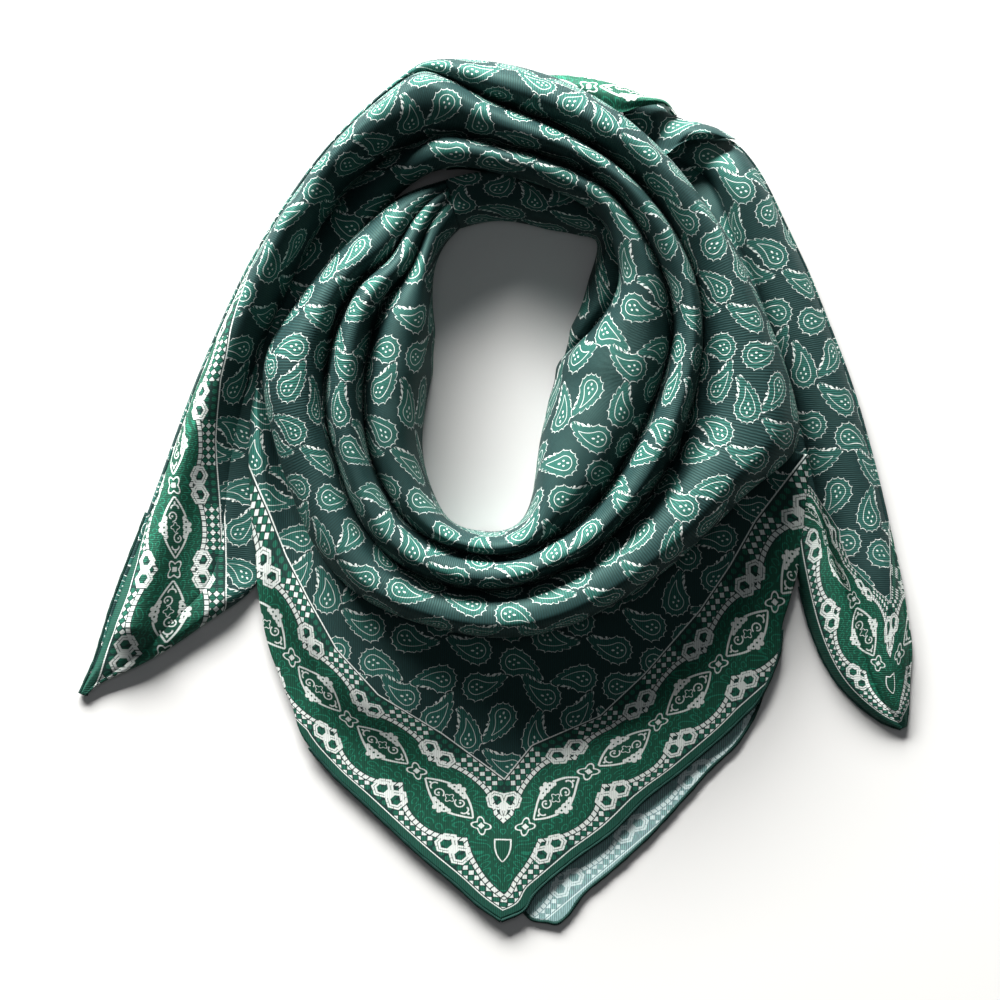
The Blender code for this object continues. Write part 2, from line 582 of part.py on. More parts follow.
def tail(name, sections, collection):
    """A tail's outer wall, and the layers folded under it, set back from its edges."""
    last = len(sections) - 1
    positions = np.arange(0.0, last + 1.0)
    at = read_sections(sections, TAIL_COLUMNS, positions)
    grid = tail_points(at, *tail_profile(at, (3, 3, 3)))
    draw_in_end(grid, 0, 1)
    cloth_wall(name, grid, "silk_face", collection)

    at = read_sections(sections, TAIL_COLUMNS, positions[1:-2])
    shares, heights = tail_profile(at, (5, 5, 5))
    length = np.hypot(at["outer_x"] - at["inner_x"], at["outer_y"] - at["inner_y"])
    inside, tops = [], []
    for row, size in enumerate(length):
        setback = LAYERS_REACH / size
        first, second = at["inner_valley"][row], at["outer_valley"][row]
        wanted = np.array((setback, first / 2, first, (first + second) / 2, second,
                           (1.0 + second) / 2, 0.4 * (1.0 + second) / 2 + 0.6, 1.0 - setback))
        wanted = np.sort(np.clip(wanted, setback, 1.0 - setback))
        inside.append(wanted)
        tops.append(clear_below(shares[row] * size, heights[row], wanted * size))
    tops = np.maximum(np.array(tops), LAYERS_LOWEST)
    filled_layers(name + "_layers", tail_points(at, np.array(inside), tops), "silk_inside", collection)


# ---------------------------------------------------------------- front point
def point_grid(azimuths, count):
    along = column(POINT_SECTIONS, POINT_COLUMNS, "azimuth")
    at = read_sections(POINT_SECTIONS, POINT_COLUMNS, azimuths, along)
    lip = band_sections_at(azimuths)["lip"]
    start = lip - TUCK_UNDER
    way = np.linspace(0.0, 1.0, count)[None, :]
    radii = start[:, None] + (at["outline"] - start)[:, None] * way
    hidden = np.clip((lip + 1.0 - start) / (at["outline"] - start), 0.0, 0.9)[:, None]
    seen = np.clip((way - hidden) / (1.0 - hidden), 0.0, 1.0)
    hump = at["middle_height"] - (at["band_height"] + at["edge_height"]) / 2
    heights = (at["band_height"][:, None] * (1.0 - seen) + at["edge_height"][:, None] * seen
               + 4.0 * hump[:, None] * seen * (1.0 - seen))
    return polar(azimuths[:, None], radii, heights)


def front_point(collection):
    along = column(POINT_SECTIONS, POINT_COLUMNS, "azimuth")
    grid = point_grid(along, 8)
    cloth_wall("front_point", grid, "silk_face", collection)
    return along, grid


def front_point_under(collection):
    along = column(UNDER_POINT_SECTIONS, UNDER_POINT_COLUMNS, "azimuth")
    outline = column(UNDER_POINT_SECTIONS, UNDER_POINT_COLUMNS, "outline")
    start = band_sections_at(along)["lip"] - TUCK_UNDER
    way = np.linspace(0.0, 1.0, 5)[None, :]
    radii = start[:, None] + (outline - start)[:, None] * way
    grid = polar(along[:, None], radii, CLOTH_WALL + 0.0 * radii)
    cloth_wall("front_point_under", grid, "silk_reverse", collection)
    return along, grid


def hem_along(name, azimuths, grid, start, end, rests_at, collection):
    chosen = (azimuths >= start) & (azimuths <= end)
    hem_cord(name, beside_edge(grid[chosen, -1], grid[chosen, -2], rests_at), collection)


# ---------------------------------------------------------------- small folds behind
def back_fold(name, sections, collection):
    last = len(sections) - 1
    positions = np.linspace(0.0, last, 2 * last + 1)
    at = read_sections(sections, BACK_FOLD_COLUMNS, positions)
    ways = np.linspace(0.0, 1.0, 6)[None, :]
    x = at["far_x"][:, None] + (at["near_x"] - at["far_x"])[:, None] * ways
    y = at["far_y"][:, None] + (at["near_y"] - at["far_y"])[:, None] * ways
    arch = 1.0 - np.abs(2.0 * ways - 1.0) ** ROLL_POWER
    edges = at["far_height"][:, None] * (1.0 - ways) + at["near_height"][:, None] * ways
    z = edges + (at["crest"][:, None] - edges) * arch
    cloth_wall(name, np.stack([x, y, z], axis=-1), "silk_face", collection)


# ---------------------------------------------------------------- the whole object
def build():
    clear_scene()
    collection = bpy.data.collections.new("bandana")
    bpy.context.scene.collection.children.link(collection)
    gathered_layers(collection)
    neck_layer(collection)
    wound_band(collection)
    tail("left_tail", LEFT_TAIL_SECTIONS, collection)
    tail("right_tail", RIGHT_TAIL_SECTIONS, collection)
    azimuths, top_layer = front_point(collection)
    under_azimuths, under_layer = front_point_under(collection)
    back_fold("back_fold_upper", UPPER_BACK_FOLD_SECTIONS, collection)
    back_fold("back_fold_lower", LOWER_BACK_FOLD_SECTIONS, collection)
    on_under_layer = CLOTH_WALL + LAYER_GAP
    hem_along("hem_point_left", azimuths, top_layer, 236, 270, on_under_layer, collection)
    hem_along("hem_point_right", azimuths, top_layer, 271, 318, on_under_layer, collection)
    hem_along("hem_point_under", under_azimuths, under_layer, 276, 308, 0.0, collection)


build()
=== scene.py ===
"""Looks of a square silk bandana, folded to a triangle, wound once round and laid flat.

Every sheet is a grid of points worked out with numpy and given a thin wall. Plan positions are
millimetres, +X to the right, +Y to the top, +Z up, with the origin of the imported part. The print
is drawn by formulas on cloth coordinates: a and b, the distances from two neighbouring hems.
"""

import math

import bpy
import numpy as np
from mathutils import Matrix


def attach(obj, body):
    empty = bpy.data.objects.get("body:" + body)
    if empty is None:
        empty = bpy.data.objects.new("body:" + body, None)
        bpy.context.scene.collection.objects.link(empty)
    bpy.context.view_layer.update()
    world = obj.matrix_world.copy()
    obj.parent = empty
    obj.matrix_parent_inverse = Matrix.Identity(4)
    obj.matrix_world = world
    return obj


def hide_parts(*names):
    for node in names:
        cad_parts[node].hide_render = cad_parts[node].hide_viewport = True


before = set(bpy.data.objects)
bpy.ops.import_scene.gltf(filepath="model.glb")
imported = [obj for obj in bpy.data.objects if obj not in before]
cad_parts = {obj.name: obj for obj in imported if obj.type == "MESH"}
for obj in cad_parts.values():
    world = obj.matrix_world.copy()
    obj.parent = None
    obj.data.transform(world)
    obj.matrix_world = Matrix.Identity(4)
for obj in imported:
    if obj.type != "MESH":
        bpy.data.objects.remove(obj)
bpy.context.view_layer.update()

MM = 0.001
RING_CENTRE = (1.6, 54.5)   # mm, what azimuths and radii of the ring are counted from

# ---------------------------------------------------------------- sizes (mm)
SILK = 0.5                  # thickness of every shown wall
HEM_RADIUS = 0.8
BORDER_WIDTH = 48.15        # from the hem to the thin line where the field starts
BORDER_PITCH = 37.8         # from one medallion of the border to the next
FAR_INSIDE = 5 * BORDER_PITCH   # put on a coordinate where only the field shows

# ---------------------------------------------------------------- the wound band
BAND_COLUMNS = ("azimuth", "edge", "inner_groove", "outer_groove", "lip",
                "inner_crest", "middle_crest", "outer_crest", "inner_sink", "outer_sink",
                "edge_height", "lip_height")
BAND_SECTIONS = (
    (106, 66.0, 80.0, 84.0, 88.5, 19, 20, 19, 1, 1, 1.2, 9),
    (112, 63.0, 76.0, 82.0, 89.0, 20, 21, 20, 2, 2, 1.2, 9),
    (120, 57.0, 67.5, 77.5, 90.0, 24, 25, 24, 5, 5, 1.2, 9),
    (135, 43.0, 59.5, 70.0, 88.5, 30, 31, 29, 12, 12, 1.2, 9),
    (150, 33.5, 59.5, 74.5, 91.5, 34, 35, 31, 17, 17, 1.2, 9),
    (165, 31.0, 59.0, 75.5, 98.0, 34, 36, 32, 19, 19, 1.2, 9),
    (180, 30.0, 60.0, 77.5, 107.0, 34, 36, 32, 19, 19, 1.2, 10),
    (195, 33.0, 63.5, 81.0, 106.0, 33, 35, 31, 19, 19, 1.2, 12),
    (210, 39.0, 68.5, 84.5, 108.5, 32, 34, 30, 18, 18, 1.2, 13),
    (225, 49.5, 74.5, 91.5, 115.5, 30, 33, 30, 17, 17, 1.2, 14),
    (240, 61.5, 81.0, 98.0, 120.0, 29, 32, 29, 15, 16, 1.2, 14),
    (255, 73.0, 83.5, 100.0, 119.5, 28, 31, 29, 14, 15, 1.2, 14),
    (270, 73.0, 84.0, 99.0, 120.5, 27, 31, 30, 13, 15, 1.2, 15),
    (282, 65.5, 81.5, 96.0, 120.0, 28, 32, 31, 14, 16, 1.2, 16),
    (288, 50.5, 79.5, 94.5, 118.5, 29, 33, 32, 15, 17, 1.2, 17),
    (294, 42.0, 77.5, 92.5, 117.5, 30, 34, 33, 16, 18, 1.2, 17),
    (300, 36.0, 75.5, 91.0, 116.5, 31, 34, 34, 17, 19, 1.2, 18),
    (315, 29.0, 71.0, 88.0, 117.0, 32, 36, 35, 18, 20, 1.2, 19),
    (330, 25.5, 68.5, 87.0, 121.5, 33, 37, 36, 19, 21, 1.2, 19),
    (338, 25.0, 69.0, 87.0, 128.0, 33, 38, 36, 19, 21, 1.2, 18),
    (345, 25.0, 70.0, 87.0, 140.5, 33, 38, 36, 19, 21, 1.2, 16),
    (352, 25.0, 71.5, 88.0, 134.5, 33, 38, 36, 19, 21, 1.2, 15),
    (360, 25.0, 74.0, 89.5, 128.5, 34, 38, 36, 18, 20, 1.2, 14),
    (372, 28.5, 79.0, 93.0, 121.5, 34, 38, 36, 17, 19, 2.0, 14),
    (382, 43.0, 82.5, 96.0, 119.0, 35, 38, 36, 16, 18, 9.0, 14),
    (390, 57.5, 84.5, 98.0, 118.5, 36, 39, 36, 15, 18, 16.0, 14),
    (398, 68.5, 86.5, 99.5, 118.0, 37, 40, 37, 14, 18, 20.0, 14),
    (405, 72.5, 88.0, 101.0, 119.5, 38, 41, 38, 14, 19, 22.0, 14),
    (417, 81.0, 93.0, 104.5, 123.5, 38, 42, 39, 14, 22, 24.0, 14),
    (434, 83.0, 96.0, 110.0, 131.0, 38, 42, 40, 15, 24, 26.0, 14),
    (450, 86.5, 99.0, 118.0, 137.5, 38, 41, 38, 15, 20, 26.0, 13),
    (457, 90.5, 104.0, 126.0, 140.3, 37, 40, 33, 14, 14, 26.0, 12),
    (461, 92.0, 107.0, 134.0, 142.5, 37, 40, 27, 13, 8, 26.0, 12),
)
CREST_PLACES = (0.58, 0.50, 0.42)       # share of each roll's width, from the hole outward
FRONT_CREST_PLACES = (0.66, 0.62, 0.66)
BAND_TUCK = (5.0, 2.5)      # how far in and how far down the outer roll turns under
TUCK_STEPS = 5
ROLL_POWER = 2.5            # a higher power gives flatter crests
ROLL_ROUND = 1.25           # a higher value gives steeper feet

# ---------------------------------------------------------------- the left tail
TAIL_COLUMNS = ("outer_x", "outer_y", "inner_x", "inner_y", "inner_valley", "outer_valley",
                "inner_crest", "middle_crest", "outer_crest", "inner_sink", "outer_sink",
                "inner_height", "outer_height")
LEFT_TAIL_SECTIONS = (
    (-28.5, 194.2, -17.5, 144.4, 0.30, 0.88, 37, 40, 23, 13, 4, 26, 11),
    (-36.0, 191.0, -23.5, 143.8, 0.31, 0.93, 33, 38, 14, 12, 2, 22, 9),
    (-44.5, 184.6, -30.5, 142.0, 0.33, 0.96, 28, 36, 10, 12, 1, 18, 8),
    (-66.0, 166.0, -43.8, 133.2, 0.42, 0.97, 18, 31, 7, 11, 0.5, 8, 6),
    (-83.0, 146.7, -55.2, 119.8, 0.50, 0.97, 14, 27, 6, 9, 0.5, 6, 5),
    (-99.7, 122.0, -67.0, 101.2, 0.50, 0.97, 12, 23, 5, 7, 0.4, 5, 4),
    (-111.0, 103.0, -76.0, 84.0, 0.48, 0.97, 10, 19, 4.5, 5, 0.3, 4.5, 3.5),
    (-120.0, 84.6, -85.5, 66.5, 0.45, 0.97, 8.5, 16, 4, 3.5, 0.3, 4, 3),
    (-131.2, 59.0, -95.0, 47.0, 0.42, 0.97, 7.5, 12.5, 3.5, 2, 0.2, 4, 2.5),
    (-141.0, 34.2, -101.0, 24.5, 0.40, 0.97, 7, 10.5, 3, 1.2, 0.2, 4, 2.2),
    (-151.4, 5.0, -102.5, 0.0, 0.38, 0.97, 6.5, 9.0, 2.6, 1, 0.2, 4, 2.0),
    (-160.4, -18.9, -102.0, -24.5, 0.36, 0.97, 6.5, 8, 2.4, 0.8, 0.1, 4, 1.8),
    (-168.5, -39.5, -107.8, -44.1, 0.35, 0.97, 6.5, 7.5, 2.2, 0.6, 0.1, 3, 1.8),
    (-174.0, -55.0, -125.3, -55.4, 0.35, 0.97, 6.2, 7, 2.2, 0.4, 0.1, 2, 1.8),
    (-178.0, -69.0, -142.4, -67.9, 0.35, 0.97, 5.2, 6, 2.2, 0.3, 0.1, 1.8, 1.8),
    (-181.6, -79.5, -161.3, -79.2, 0.35, 0.97, 4.2, 4.6, 2.2, 0.2, 0.1, 1.8, 1.8),
    (-184.7, -85.6, -177.0, -85.4, 0.35, 0.97, 3.0, 3.2, 2.0, 0.1, 0.1, 1.8, 1.8),
    (-187.0, -91.2, -184.6, -92.0, 0.35, 0.97, 2.4, 2.4, 2.0, 0.0, 0.0, 1.8, 1.8),
)
LEFT_TAIL_FOLDS = (         # line in plan, width, height
    (((-92, 122), (-104, 100), (-113, 80), (-124, 56), (-134, 30), (-143, 5), (-150, -20),
      (-157, -42), (-163, -60)), 9.0, 6.0),
    (((-66, 133), (-78, 107), (-88, 80), (-100, 50), (-108, 20), (-110, -10), (-112, -35)),
     9.0, -3.0),
)
RIGHT_TAIL_SECTIONS = (
    (95.0, 163.5, 64.0, 155.0, 0.30, 0.97, 2.6, 3, 3, 0.4, 0.2, 2.6, 2),
    (103.5, 158.8, 74.0, 142.0, 0.30, 0.97, 2.8, 4, 3.4, 0.6, 0.2, 2.6, 3),
    (109.5, 155.0, 86.0, 135.0, 0.34, 0.97, 4.0, 13, 5, 1.5, 0.2, 3, 4),
    (119.5, 142.2, 92.5, 124.5, 0.32, 0.97, 9.0, 19, 5, 3, 0.2, 7, 4),
    (129.8, 121.0, 98.0, 109.0, 0.30, 0.97, 10.8, 17, 4.5, 3, 0.2, 9, 3.5),
    (140.2, 99.5, 106.5, 90.5, 0.30, 0.97, 10.8, 15.5, 4, 2.5, 0.2, 9, 3),
    (150.1, 74.7, 113.0, 66.5, 0.30, 0.97, 10.5, 14.5, 3.5, 2.5, 0.2, 8, 2.5),
    (160.4, 47.7, 119.0, 45.4, 0.30, 0.97, 8.0, 13.5, 3.2, 2, 0.2, 6, 2.4),
    (169.4, 16.2, 127.5, 15.2, 0.30, 0.97, 5.5, 12.5, 3, 1.5, 0.2, 3.5, 2.2),
    (174.4, -4.0, 131.0, -7.3, 0.32, 0.97, 5.0, 12, 2.8, 1.5, 0.1, 3.2, 2.0),
    (178.4, -22.0, 133.0, -25.6, 0.36, 0.97, 6.0, 12, 2.6, 2.5, 0.1, 2.6, 2.0),
    (182.5, -40.0, 135.6, -39.2, 0.42, 0.97, 9.0, 12, 2.6, 5.5, 0.1, 2.2, 2.0),
    (185.2, -57.2, 139.1, -54.5, 0.46, 0.97, 9.0, 10.5, 2.4, 5, 0.1, 2.0, 1.8),
    (187.2, -71.6, 144.5, -70.7, 0.48, 0.97, 8, 9, 2.4, 4, 0.1, 2.0, 1.8),
    (186.2, -84.2, 153.0, -86.0, 0.48, 0.97, 6.5, 7.5, 2.2, 3, 0.1, 2.0, 1.8),
    (185.7, -94.0, 164.7, -97.7, 0.48, 0.97, 5, 6, 2.2, 1.6, 0.1, 1.8, 1.8),
    (185.1, -100.8, 173.7, -104.0, 0.48, 0.97, 3.6, 4.2, 2.2, 0.6, 0.1, 1.8, 1.8),
    (184.2, -106.0, 181.8, -107.0, 0.48, 0.97, 2.4, 2.4, 2.0, 0.0, 0.0, 1.8, 1.8),
)
TAIL_CREST_PLACES = (0.50, 0.70, 0.50)
TAIL_TUCK = (2.2, 1.2)

NECK_COLUMNS = ("azimuth", "hole", "shoulder", "top", "top_height")
NECK_SECTIONS = (
    (12, 29.5, 33.0, 34.5, 2.0),
    (18, 31.5, 36.0, 38.5, 3.0),
    (22, 33.0, 40.0, 45.0, 6.0),
    (30, 36.5, 52.0, 58.5, 12.0),
    (38, 46.0, 64.0, 70.0, 15.5),
    (45, 56.0, 70.0, 75.0, 17.5),
    (54, 72.5, 79.0, 82.0, 19.0),
    (60, 70.0, 79.0, 84.0, 20.0),
    (74, 66.5, 78.0, 85.5, 20.0),
    (90, 67.0, 78.0, 88.5, 20.0),
    (106, 66.0, 74.0, 88.0, 19.0),
)

# ---------------------------------------------------------------- the front point (plan, mm)
POINT_OUTLINE_LEFT = (
    (-110.5, -4.0), (-109.8, -15.3), (-108.2, -29.0), (-107.4, -43.0), (-104.2, -62.5),
    (-101.9, -71.5), (-98.6, -80.6), (-95.2, -89.6), (-91.8, -97.0), (-87.5, -109.8),
    (-73.6, -126.9), (-60.1, -139.5), (-34.9, -162.9), (-18.7, -176.4), (-8.3, -185.8),
    (2.0, -193.0),
)
POINT_OUTLINE_RIGHT = (
    (2.0, -193.0), (12.4, -188.1), (16.9, -180.9), (34.0, -166.1), (52.4, -152.6),
    (66.4, -138.6), (82.6, -126.0), (93.8, -116.6), (102.8, -108.9), (110.9, -101.0),
    (116.8, -95.0), (123.5, -82.4), (127.1, -72.0), (128.5, -60.3), (131.5, -50.0),
    (135.0, -38.0), (136.7, -26.5), (138.0, -13.5), (139.7, 5.0), (140.2, 16.2),
)
POINT_HEIGHT_COLUMNS = ("azimuth", "z0", "z1", "z2", "z3", "z4")    # from the band to the edge
POINT_HEIGHTS = (
    (190, 7, 9, 11, 10, 6.5), (196, 6, 9, 12.5, 11.5, 6.5), (202, 5, 8.5, 13.5, 12.5, 6),
    (210, 5, 8, 13, 13, 5.5), (217, 6, 9, 13, 13, 5), (224, 8, 11, 13.5, 11, 4),
    (231, 10, 12, 13, 8, 3.4), (241, 11, 12.5, 12, 5.5, 3.2), (250, 11.5, 12.5, 11, 4.2, 3.2),
    (260, 11, 11, 7, 3.6, 3.4), (270, 9.6, 8, 4, 4.4, 3.2), (280, 8.4, 5.5, 3.8, 4.6, 3.2),
    (290, 8, 4.8, 4, 4.6, 3.2), (302, 7.5, 4.8, 4.4, 5, 3.2), (312, 7.5, 5, 5.5, 6.5, 3.3),
    (325, 7.5, 6, 8, 8.5, 4.5), (334, 7.2, 6, 8, 8, 5.5), (345, 7, 6.5, 7, 7, 6),
)
UNDER_OUTLINE = (
    (-20.0, -166.0), (-4.0, -176.0), (5.0, -181.0), (11.0, -187.2), (16.5, -192.6),
    (22.7, -193.5), (27.0, -194.2), (31.5, -191.0), (39.0, -181.0), (52.4, -169.7), (68.6, -154.8),
    (84.8, -137.2), (96.1, -124.6), (107.8, -113.4), (116.8, -98.5), (121.3, -84.6),
    (124.0, -74.0),
)
FOLD_COLUMNS = ("far_x", "far_y", "near_x", "near_y", "far_height", "crest", "near_height")
UPPER_FOLD = (
    (22.0, 187.0, 24.0, 178.0, 3.0, 9.0, 10.4),
    (36.0, 186.8, 34.0, 175.5, 3.0, 11.0, 10.6),
    (48.0, 184.2, 45.0, 172.0, 4.0, 13.6, 12.0),
    (58.5, 181.2, 55.0, 169.5, 5.0, 15.0, 13.5),
    (66.5, 177.6, 64.0, 172.0, 6.0, 15.6, 14.4),
    (75.8, 175.2, 71.5, 173.4, 6.0, 14.0, 13.4),
    (81.2, 168.8, 78.5, 168.6, 4.0, 8.0, 6.0),
)
LOWER_FOLD = (
    (56.0, 176.0, 60.0, 152.0, 2.0, 3.0, 4.0),
    (70.0, 175.0, 68.5, 151.0, 2.5, 4.5, 7.0),
    (82.5, 167.6, 75.5, 151.0, 4.0, 12.0, 11.0),
    (90.5, 165.6, 81.0, 154.6, 5.0, 15.0, 13.6),
    (98.5, 163.2, 88.0, 157.6, 5.0, 15.5, 14.2),
    (107.5, 158.2, 99.0, 157.6, 4.0, 13.0, 11.0),
)


# ---------------------------------------------------------------- curves and tables
def cubic(t, width, start, start_slope, end, end_slope):
    """The cubic from start to end with these slopes, at the shares t of its width."""
    return ((2 * t**3 - 3 * t**2 + 1) * start + (t**3 - 2 * t**2 + t) * width * start_slope
            + (3 * t**2 - 2 * t**3) * end + (t**3 - t**2) * width * end_slope)


def monotone(x, y, at):
    """Smooth curve through (x, y) at the places at: cubic pieces that overshoot no point."""
    secants = np.diff(y) / np.diff(x)
    slopes = np.zeros_like(y)
    slopes[0], slopes[-1] = secants[0], secants[-1]
    before, after = secants[:-1], secants[1:]
    same = before * after > 0
    total = np.where(same, before + after, 1.0)
    slopes[1:-1] = np.where(same, 2.0 * before * after / total, 0.0)
    k = np.clip(np.searchsorted(x, at, side="right") - 1, 0, len(x) - 2)
    width = x[k + 1] - x[k]
    return cubic((at - x[k]) / width, width, y[k], slopes[k], y[k + 1], slopes[k + 1])


def table_at(rows, columns, at, along=None):
    """Every column of a table as a smooth curve, read at the places at."""
    data = np.array(rows, float)
    x = np.arange(len(rows), dtype=float) if along is None else data[:, columns.index(along)]
    return {name: monotone(x, data[:, k], at) for k, name in enumerate(columns)}


def read(table, at):
    """A table of pairs read by straight lines."""
    x, y = np.array(table, float).T
    return np.interp(at, x, y)


def averaged(values, reach):
    """Moving mean over 2 * reach + 1 rows, twice, with both ends kept."""
    kernel = np.ones(2 * reach + 1) / (2 * reach + 1)
    flat = values.reshape(len(values), -1)
    for _ in range(2):
        head = 2 * flat[0] - flat[reach:0:-1]
        tail = 2 * flat[-1] - flat[-2:-2 - reach:-1]
        padded = np.concatenate([head, flat, tail])
        flat = np.stack([np.convolve(column, kernel, "valid") for column in padded.T], 1)
    return flat.reshape(values.shape)


def dense(points, step):
    """A smooth line through points (centripetal cubic), a point every step millimetres."""
    p = np.array(points, float)
    p = np.concatenate([[2 * p[0] - p[1]], p, [2 * p[-1] - p[-2]]])
    t = np.concatenate([[0], np.cumsum(np.sqrt(np.linalg.norm(np.diff(p, axis=0), axis=1)))])
    slopes = np.zeros_like(p)
    left = (p[1:-1] - p[:-2]) / np.diff(t)[:-1, None]
    right = (p[2:] - p[1:-1]) / np.diff(t)[1:, None]
    share = (np.diff(t)[:-1] / (t[2:] - t[:-2]))[:, None]
    slopes[1:-1] = left * (1 - share) + right * share
    fine = []
    for k in range(1, len(p) - 2):
        width = t[k + 1] - t[k]
        count = max(2, int(np.linalg.norm(p[k + 1] - p[k]) / step) + 1)
        w = np.linspace(0, 1, count, endpoint=False)[:, None]
        fine.append(cubic(w, width, p[k], slopes[k], p[k + 1], slopes[k + 1]))
    return np.concatenate(fine + [p[-2:-1]])


def lengths_along(grid, axis):
    """Distance walked over the grid along one of its directions."""
    steps = np.linalg.norm(np.diff(grid, axis=axis), axis=-1)
    return np.concatenate([np.zeros_like(np.take(steps, [0], axis)), np.cumsum(steps, axis)], axis)


def ring_point(azimuth, radius):
    angle = np.radians(azimuth)
    return np.stack([RING_CENTRE[0] + radius * np.cos(angle),
                     RING_CENTRE[1] + radius * np.sin(angle)], axis=-1)


def smoothstep(low, high, x):
    t = np.clip((x - low) / (high - low), 0.0, 1.0)
    return t * t * (3 - 2 * t)


def line_distance(x, y, line):
    """Plan distance from points to a line of points."""
    best = np.full(x.shape, 1e9)
    for (x0, y0), (x1, y1) in zip(line[:-1], line[1:]):
        dx, dy = x1 - x0, y1 - y0
        t = np.clip(((x - x0) * dx + (y - y0) * dy) / (dx * dx + dy * dy), 0, 1)
        best = np.minimum(best, np.hypot(x - x0 - t * dx, y - y0 - t * dy))
    return best


def soft_lines(grid, lines):
    """Troughs and ridges: each line adds height * exp(-(distance / width)^2) to z, and less where
    the cloth lies low."""
    for points, width, height in lines:
        distance = line_distance(grid[..., 0], grid[..., 1], points)
        low = smoothstep(1.5, 6.0, grid[..., 2])
        grid[..., 2] += height * np.exp(-(distance / width) ** 2) * low
    return grid


# ---------------------------------------------------------------- meshes
def unit_vectors(vectors):
    return vectors / np.linalg.norm(vectors, axis=-1, keepdims=True)


def make_piece(name, points, corners, starts, layers, material):
    """An object from points in mm, the corners of its faces and its UV layers in mm."""
    mesh = bpy.data.meshes.new(name)
    mesh.vertices.add(points.size // 3)
    mesh.vertices.foreach_set("co", (points * MM).astype(np.float32).ravel())
    mesh.loops.add(corners.size)
    mesh.loops.foreach_set("vertex_index", corners.astype(np.int32).ravel())
    mesh.polygons.add(len(starts))
    mesh.polygons.foreach_set("loop_start", starts.astype(np.int32))
    mesh.update(calc_edges=True)
    for layer, values in layers.items():
        mesh.uv_layers.new(name=layer).data.foreach_set(
            "uv", (values * MM).astype(np.float32).ravel())
    mesh.shade_smooth()
    mesh.materials.append(material)
    piece = bpy.data.objects.new(name, mesh)
    bpy.context.scene.collection.objects.link(piece)
    return piece


def both_sides(uv):
    """Vertex coordinates as (rows, faces across, side, 2), with no break anywhere."""
    return uv if uv.ndim == 4 else np.stack([uv[:, :-1], uv[:, 1:]], axis=2)


def sheet_mesh(name, grid, print_uv, field_uv, weave_uv, material):
    """A sheet as an object, with a thin wall.

    print_uv places the border and field_uv the paisleys. Each may have its own coordinates for
    both sides of each column of faces, so that the print may break in a groove."""
    rows, columns = grid.shape[:2]
    i, j = np.meshgrid(np.arange(rows - 1), np.arange(columns - 1), indexing="ij")
    first = i * columns + j
    corners = np.stack([first, first + columns, first + columns + 1, first + 1], axis=-1)
    layers = {}
    for layer, uv in (("print", print_uv), ("field", field_uv), ("weave", weave_uv)):
        uv = both_sides(uv)
        layers[layer] = np.stack([uv[i, j, 0], uv[i + 1, j, 0], uv[i + 1, j, 1], uv[i, j, 1]], 2)
    facing = np.cross(grid[1:, :-1] - grid[:-1, :-1], grid[:-1, 1:] - grid[:-1, :-1])[..., 2].sum()
    if facing < 0:
        corners = corners[..., ::-1]
        layers = {key: value[..., ::-1, :] for key, value in layers.items()}
    piece = make_piece(name, grid, corners, np.arange(0, corners.size, 4), layers, material)
    solid = piece.modifiers.new("silk", "SOLIDIFY")
    solid.thickness = SILK * MM
    solid.offset = -1.0
    solid.use_rim = True
    return piece


# ---------------------------------------------------------------- rolls
ROW_KEYS = ("inner", "outer", "g1", "g2", "c1", "c2", "c3", "s1", "s2", "h_in", "h_out")


def roll_grid(row, crest_places, counts, tuck, inner_tuck):
    """A grid of three rolls side by side.

    row holds inner and outer (plan points), the grooves g1 and g2 as shares, the crests c1 to c3,
    sinks, and both edge heights. In a leg, w runs from 0 at its low end to 1 at its crest and
    z = low + (crest - low) * (1 - (1 - w)^ROLL_POWER)^(1 / ROLL_ROUND).
    Returns the grid, the direction of each section, and each roll's crest column and last column.
    """
    inner, outer, g1, g2, c1, c2, c3, s1, s2, h_in, h_out = (row[key] for key in ROW_KEYS)
    k1 = crest_places[0] * g1
    k2 = g1 + crest_places[1] * (g2 - g1)
    k3 = g2 + crest_places[2] * (1.0 - g2)
    v1 = np.minimum(c1, c2) - s1
    v2 = np.minimum(c2, c3) - s2
    legs = ((np.zeros_like(g1), h_in, k1, c1, counts[0]), (g1, v1, k1, c1, counts[1]),
            (g1, v1, k2, c2, counts[1]), (g2, v2, k2, c2, counts[1]),
            (g2, v2, k3, c3, counts[1]), (np.ones_like(g1), h_out, k3, c3, counts[2]))
    shares, heights, marks = [], [], []
    for number, (low, low_z, high, high_z, count) in enumerate(legs):
        w = 1.0 - np.cos(np.linspace(0, math.pi / 2, count))
        s = low[:, None] + (high - low)[:, None] * w
        rise = (1 - (1 - w) ** ROLL_POWER) ** (1 / ROLL_ROUND)
        z = low_z[:, None] + (high_z - low_z)[:, None] * rise
        if number % 2:          # every second leg runs down from its crest
            s, z = s[:, ::-1], z[:, ::-1]
        skip = 1 if shares else 0
        shares.append(s[:, skip:])
        heights.append(z[:, skip:])
        marks.append(TUCK_STEPS + sum(part.shape[1] for part in shares) - 1)
    shares, heights = np.concatenate(shares, 1), np.concatenate(heights, 1)
    across = outer - inner
    unit = unit_vectors(across)
    plan = inner[:, None] + across[:, None] * shares[..., None]
    turn = np.linspace(0, math.pi / 2, TUCK_STEPS + 1)[1:]
    out = [np.concatenate([outer - unit * tuck[0] * (1 - math.cos(t)),
                           (h_out - tuck[1] * math.sin(t))[:, None]], 1) for t in turn]
    inside = [np.concatenate([inner + unit * (inner_tuck * (1 - math.cos(t)))[:, None],
                              (h_in - 0.5 * inner_tuck * math.sin(t))[:, None]], 1)
              for t in turn[::-1]]
    grid = np.concatenate([np.stack(inside, 1), np.concatenate([plan, heights[..., None]], -1),
                           np.stack(out, 1)], 1)
    return grid, unit, marks[0::2], [marks[1], marks[3], grid.shape[1] - 1]


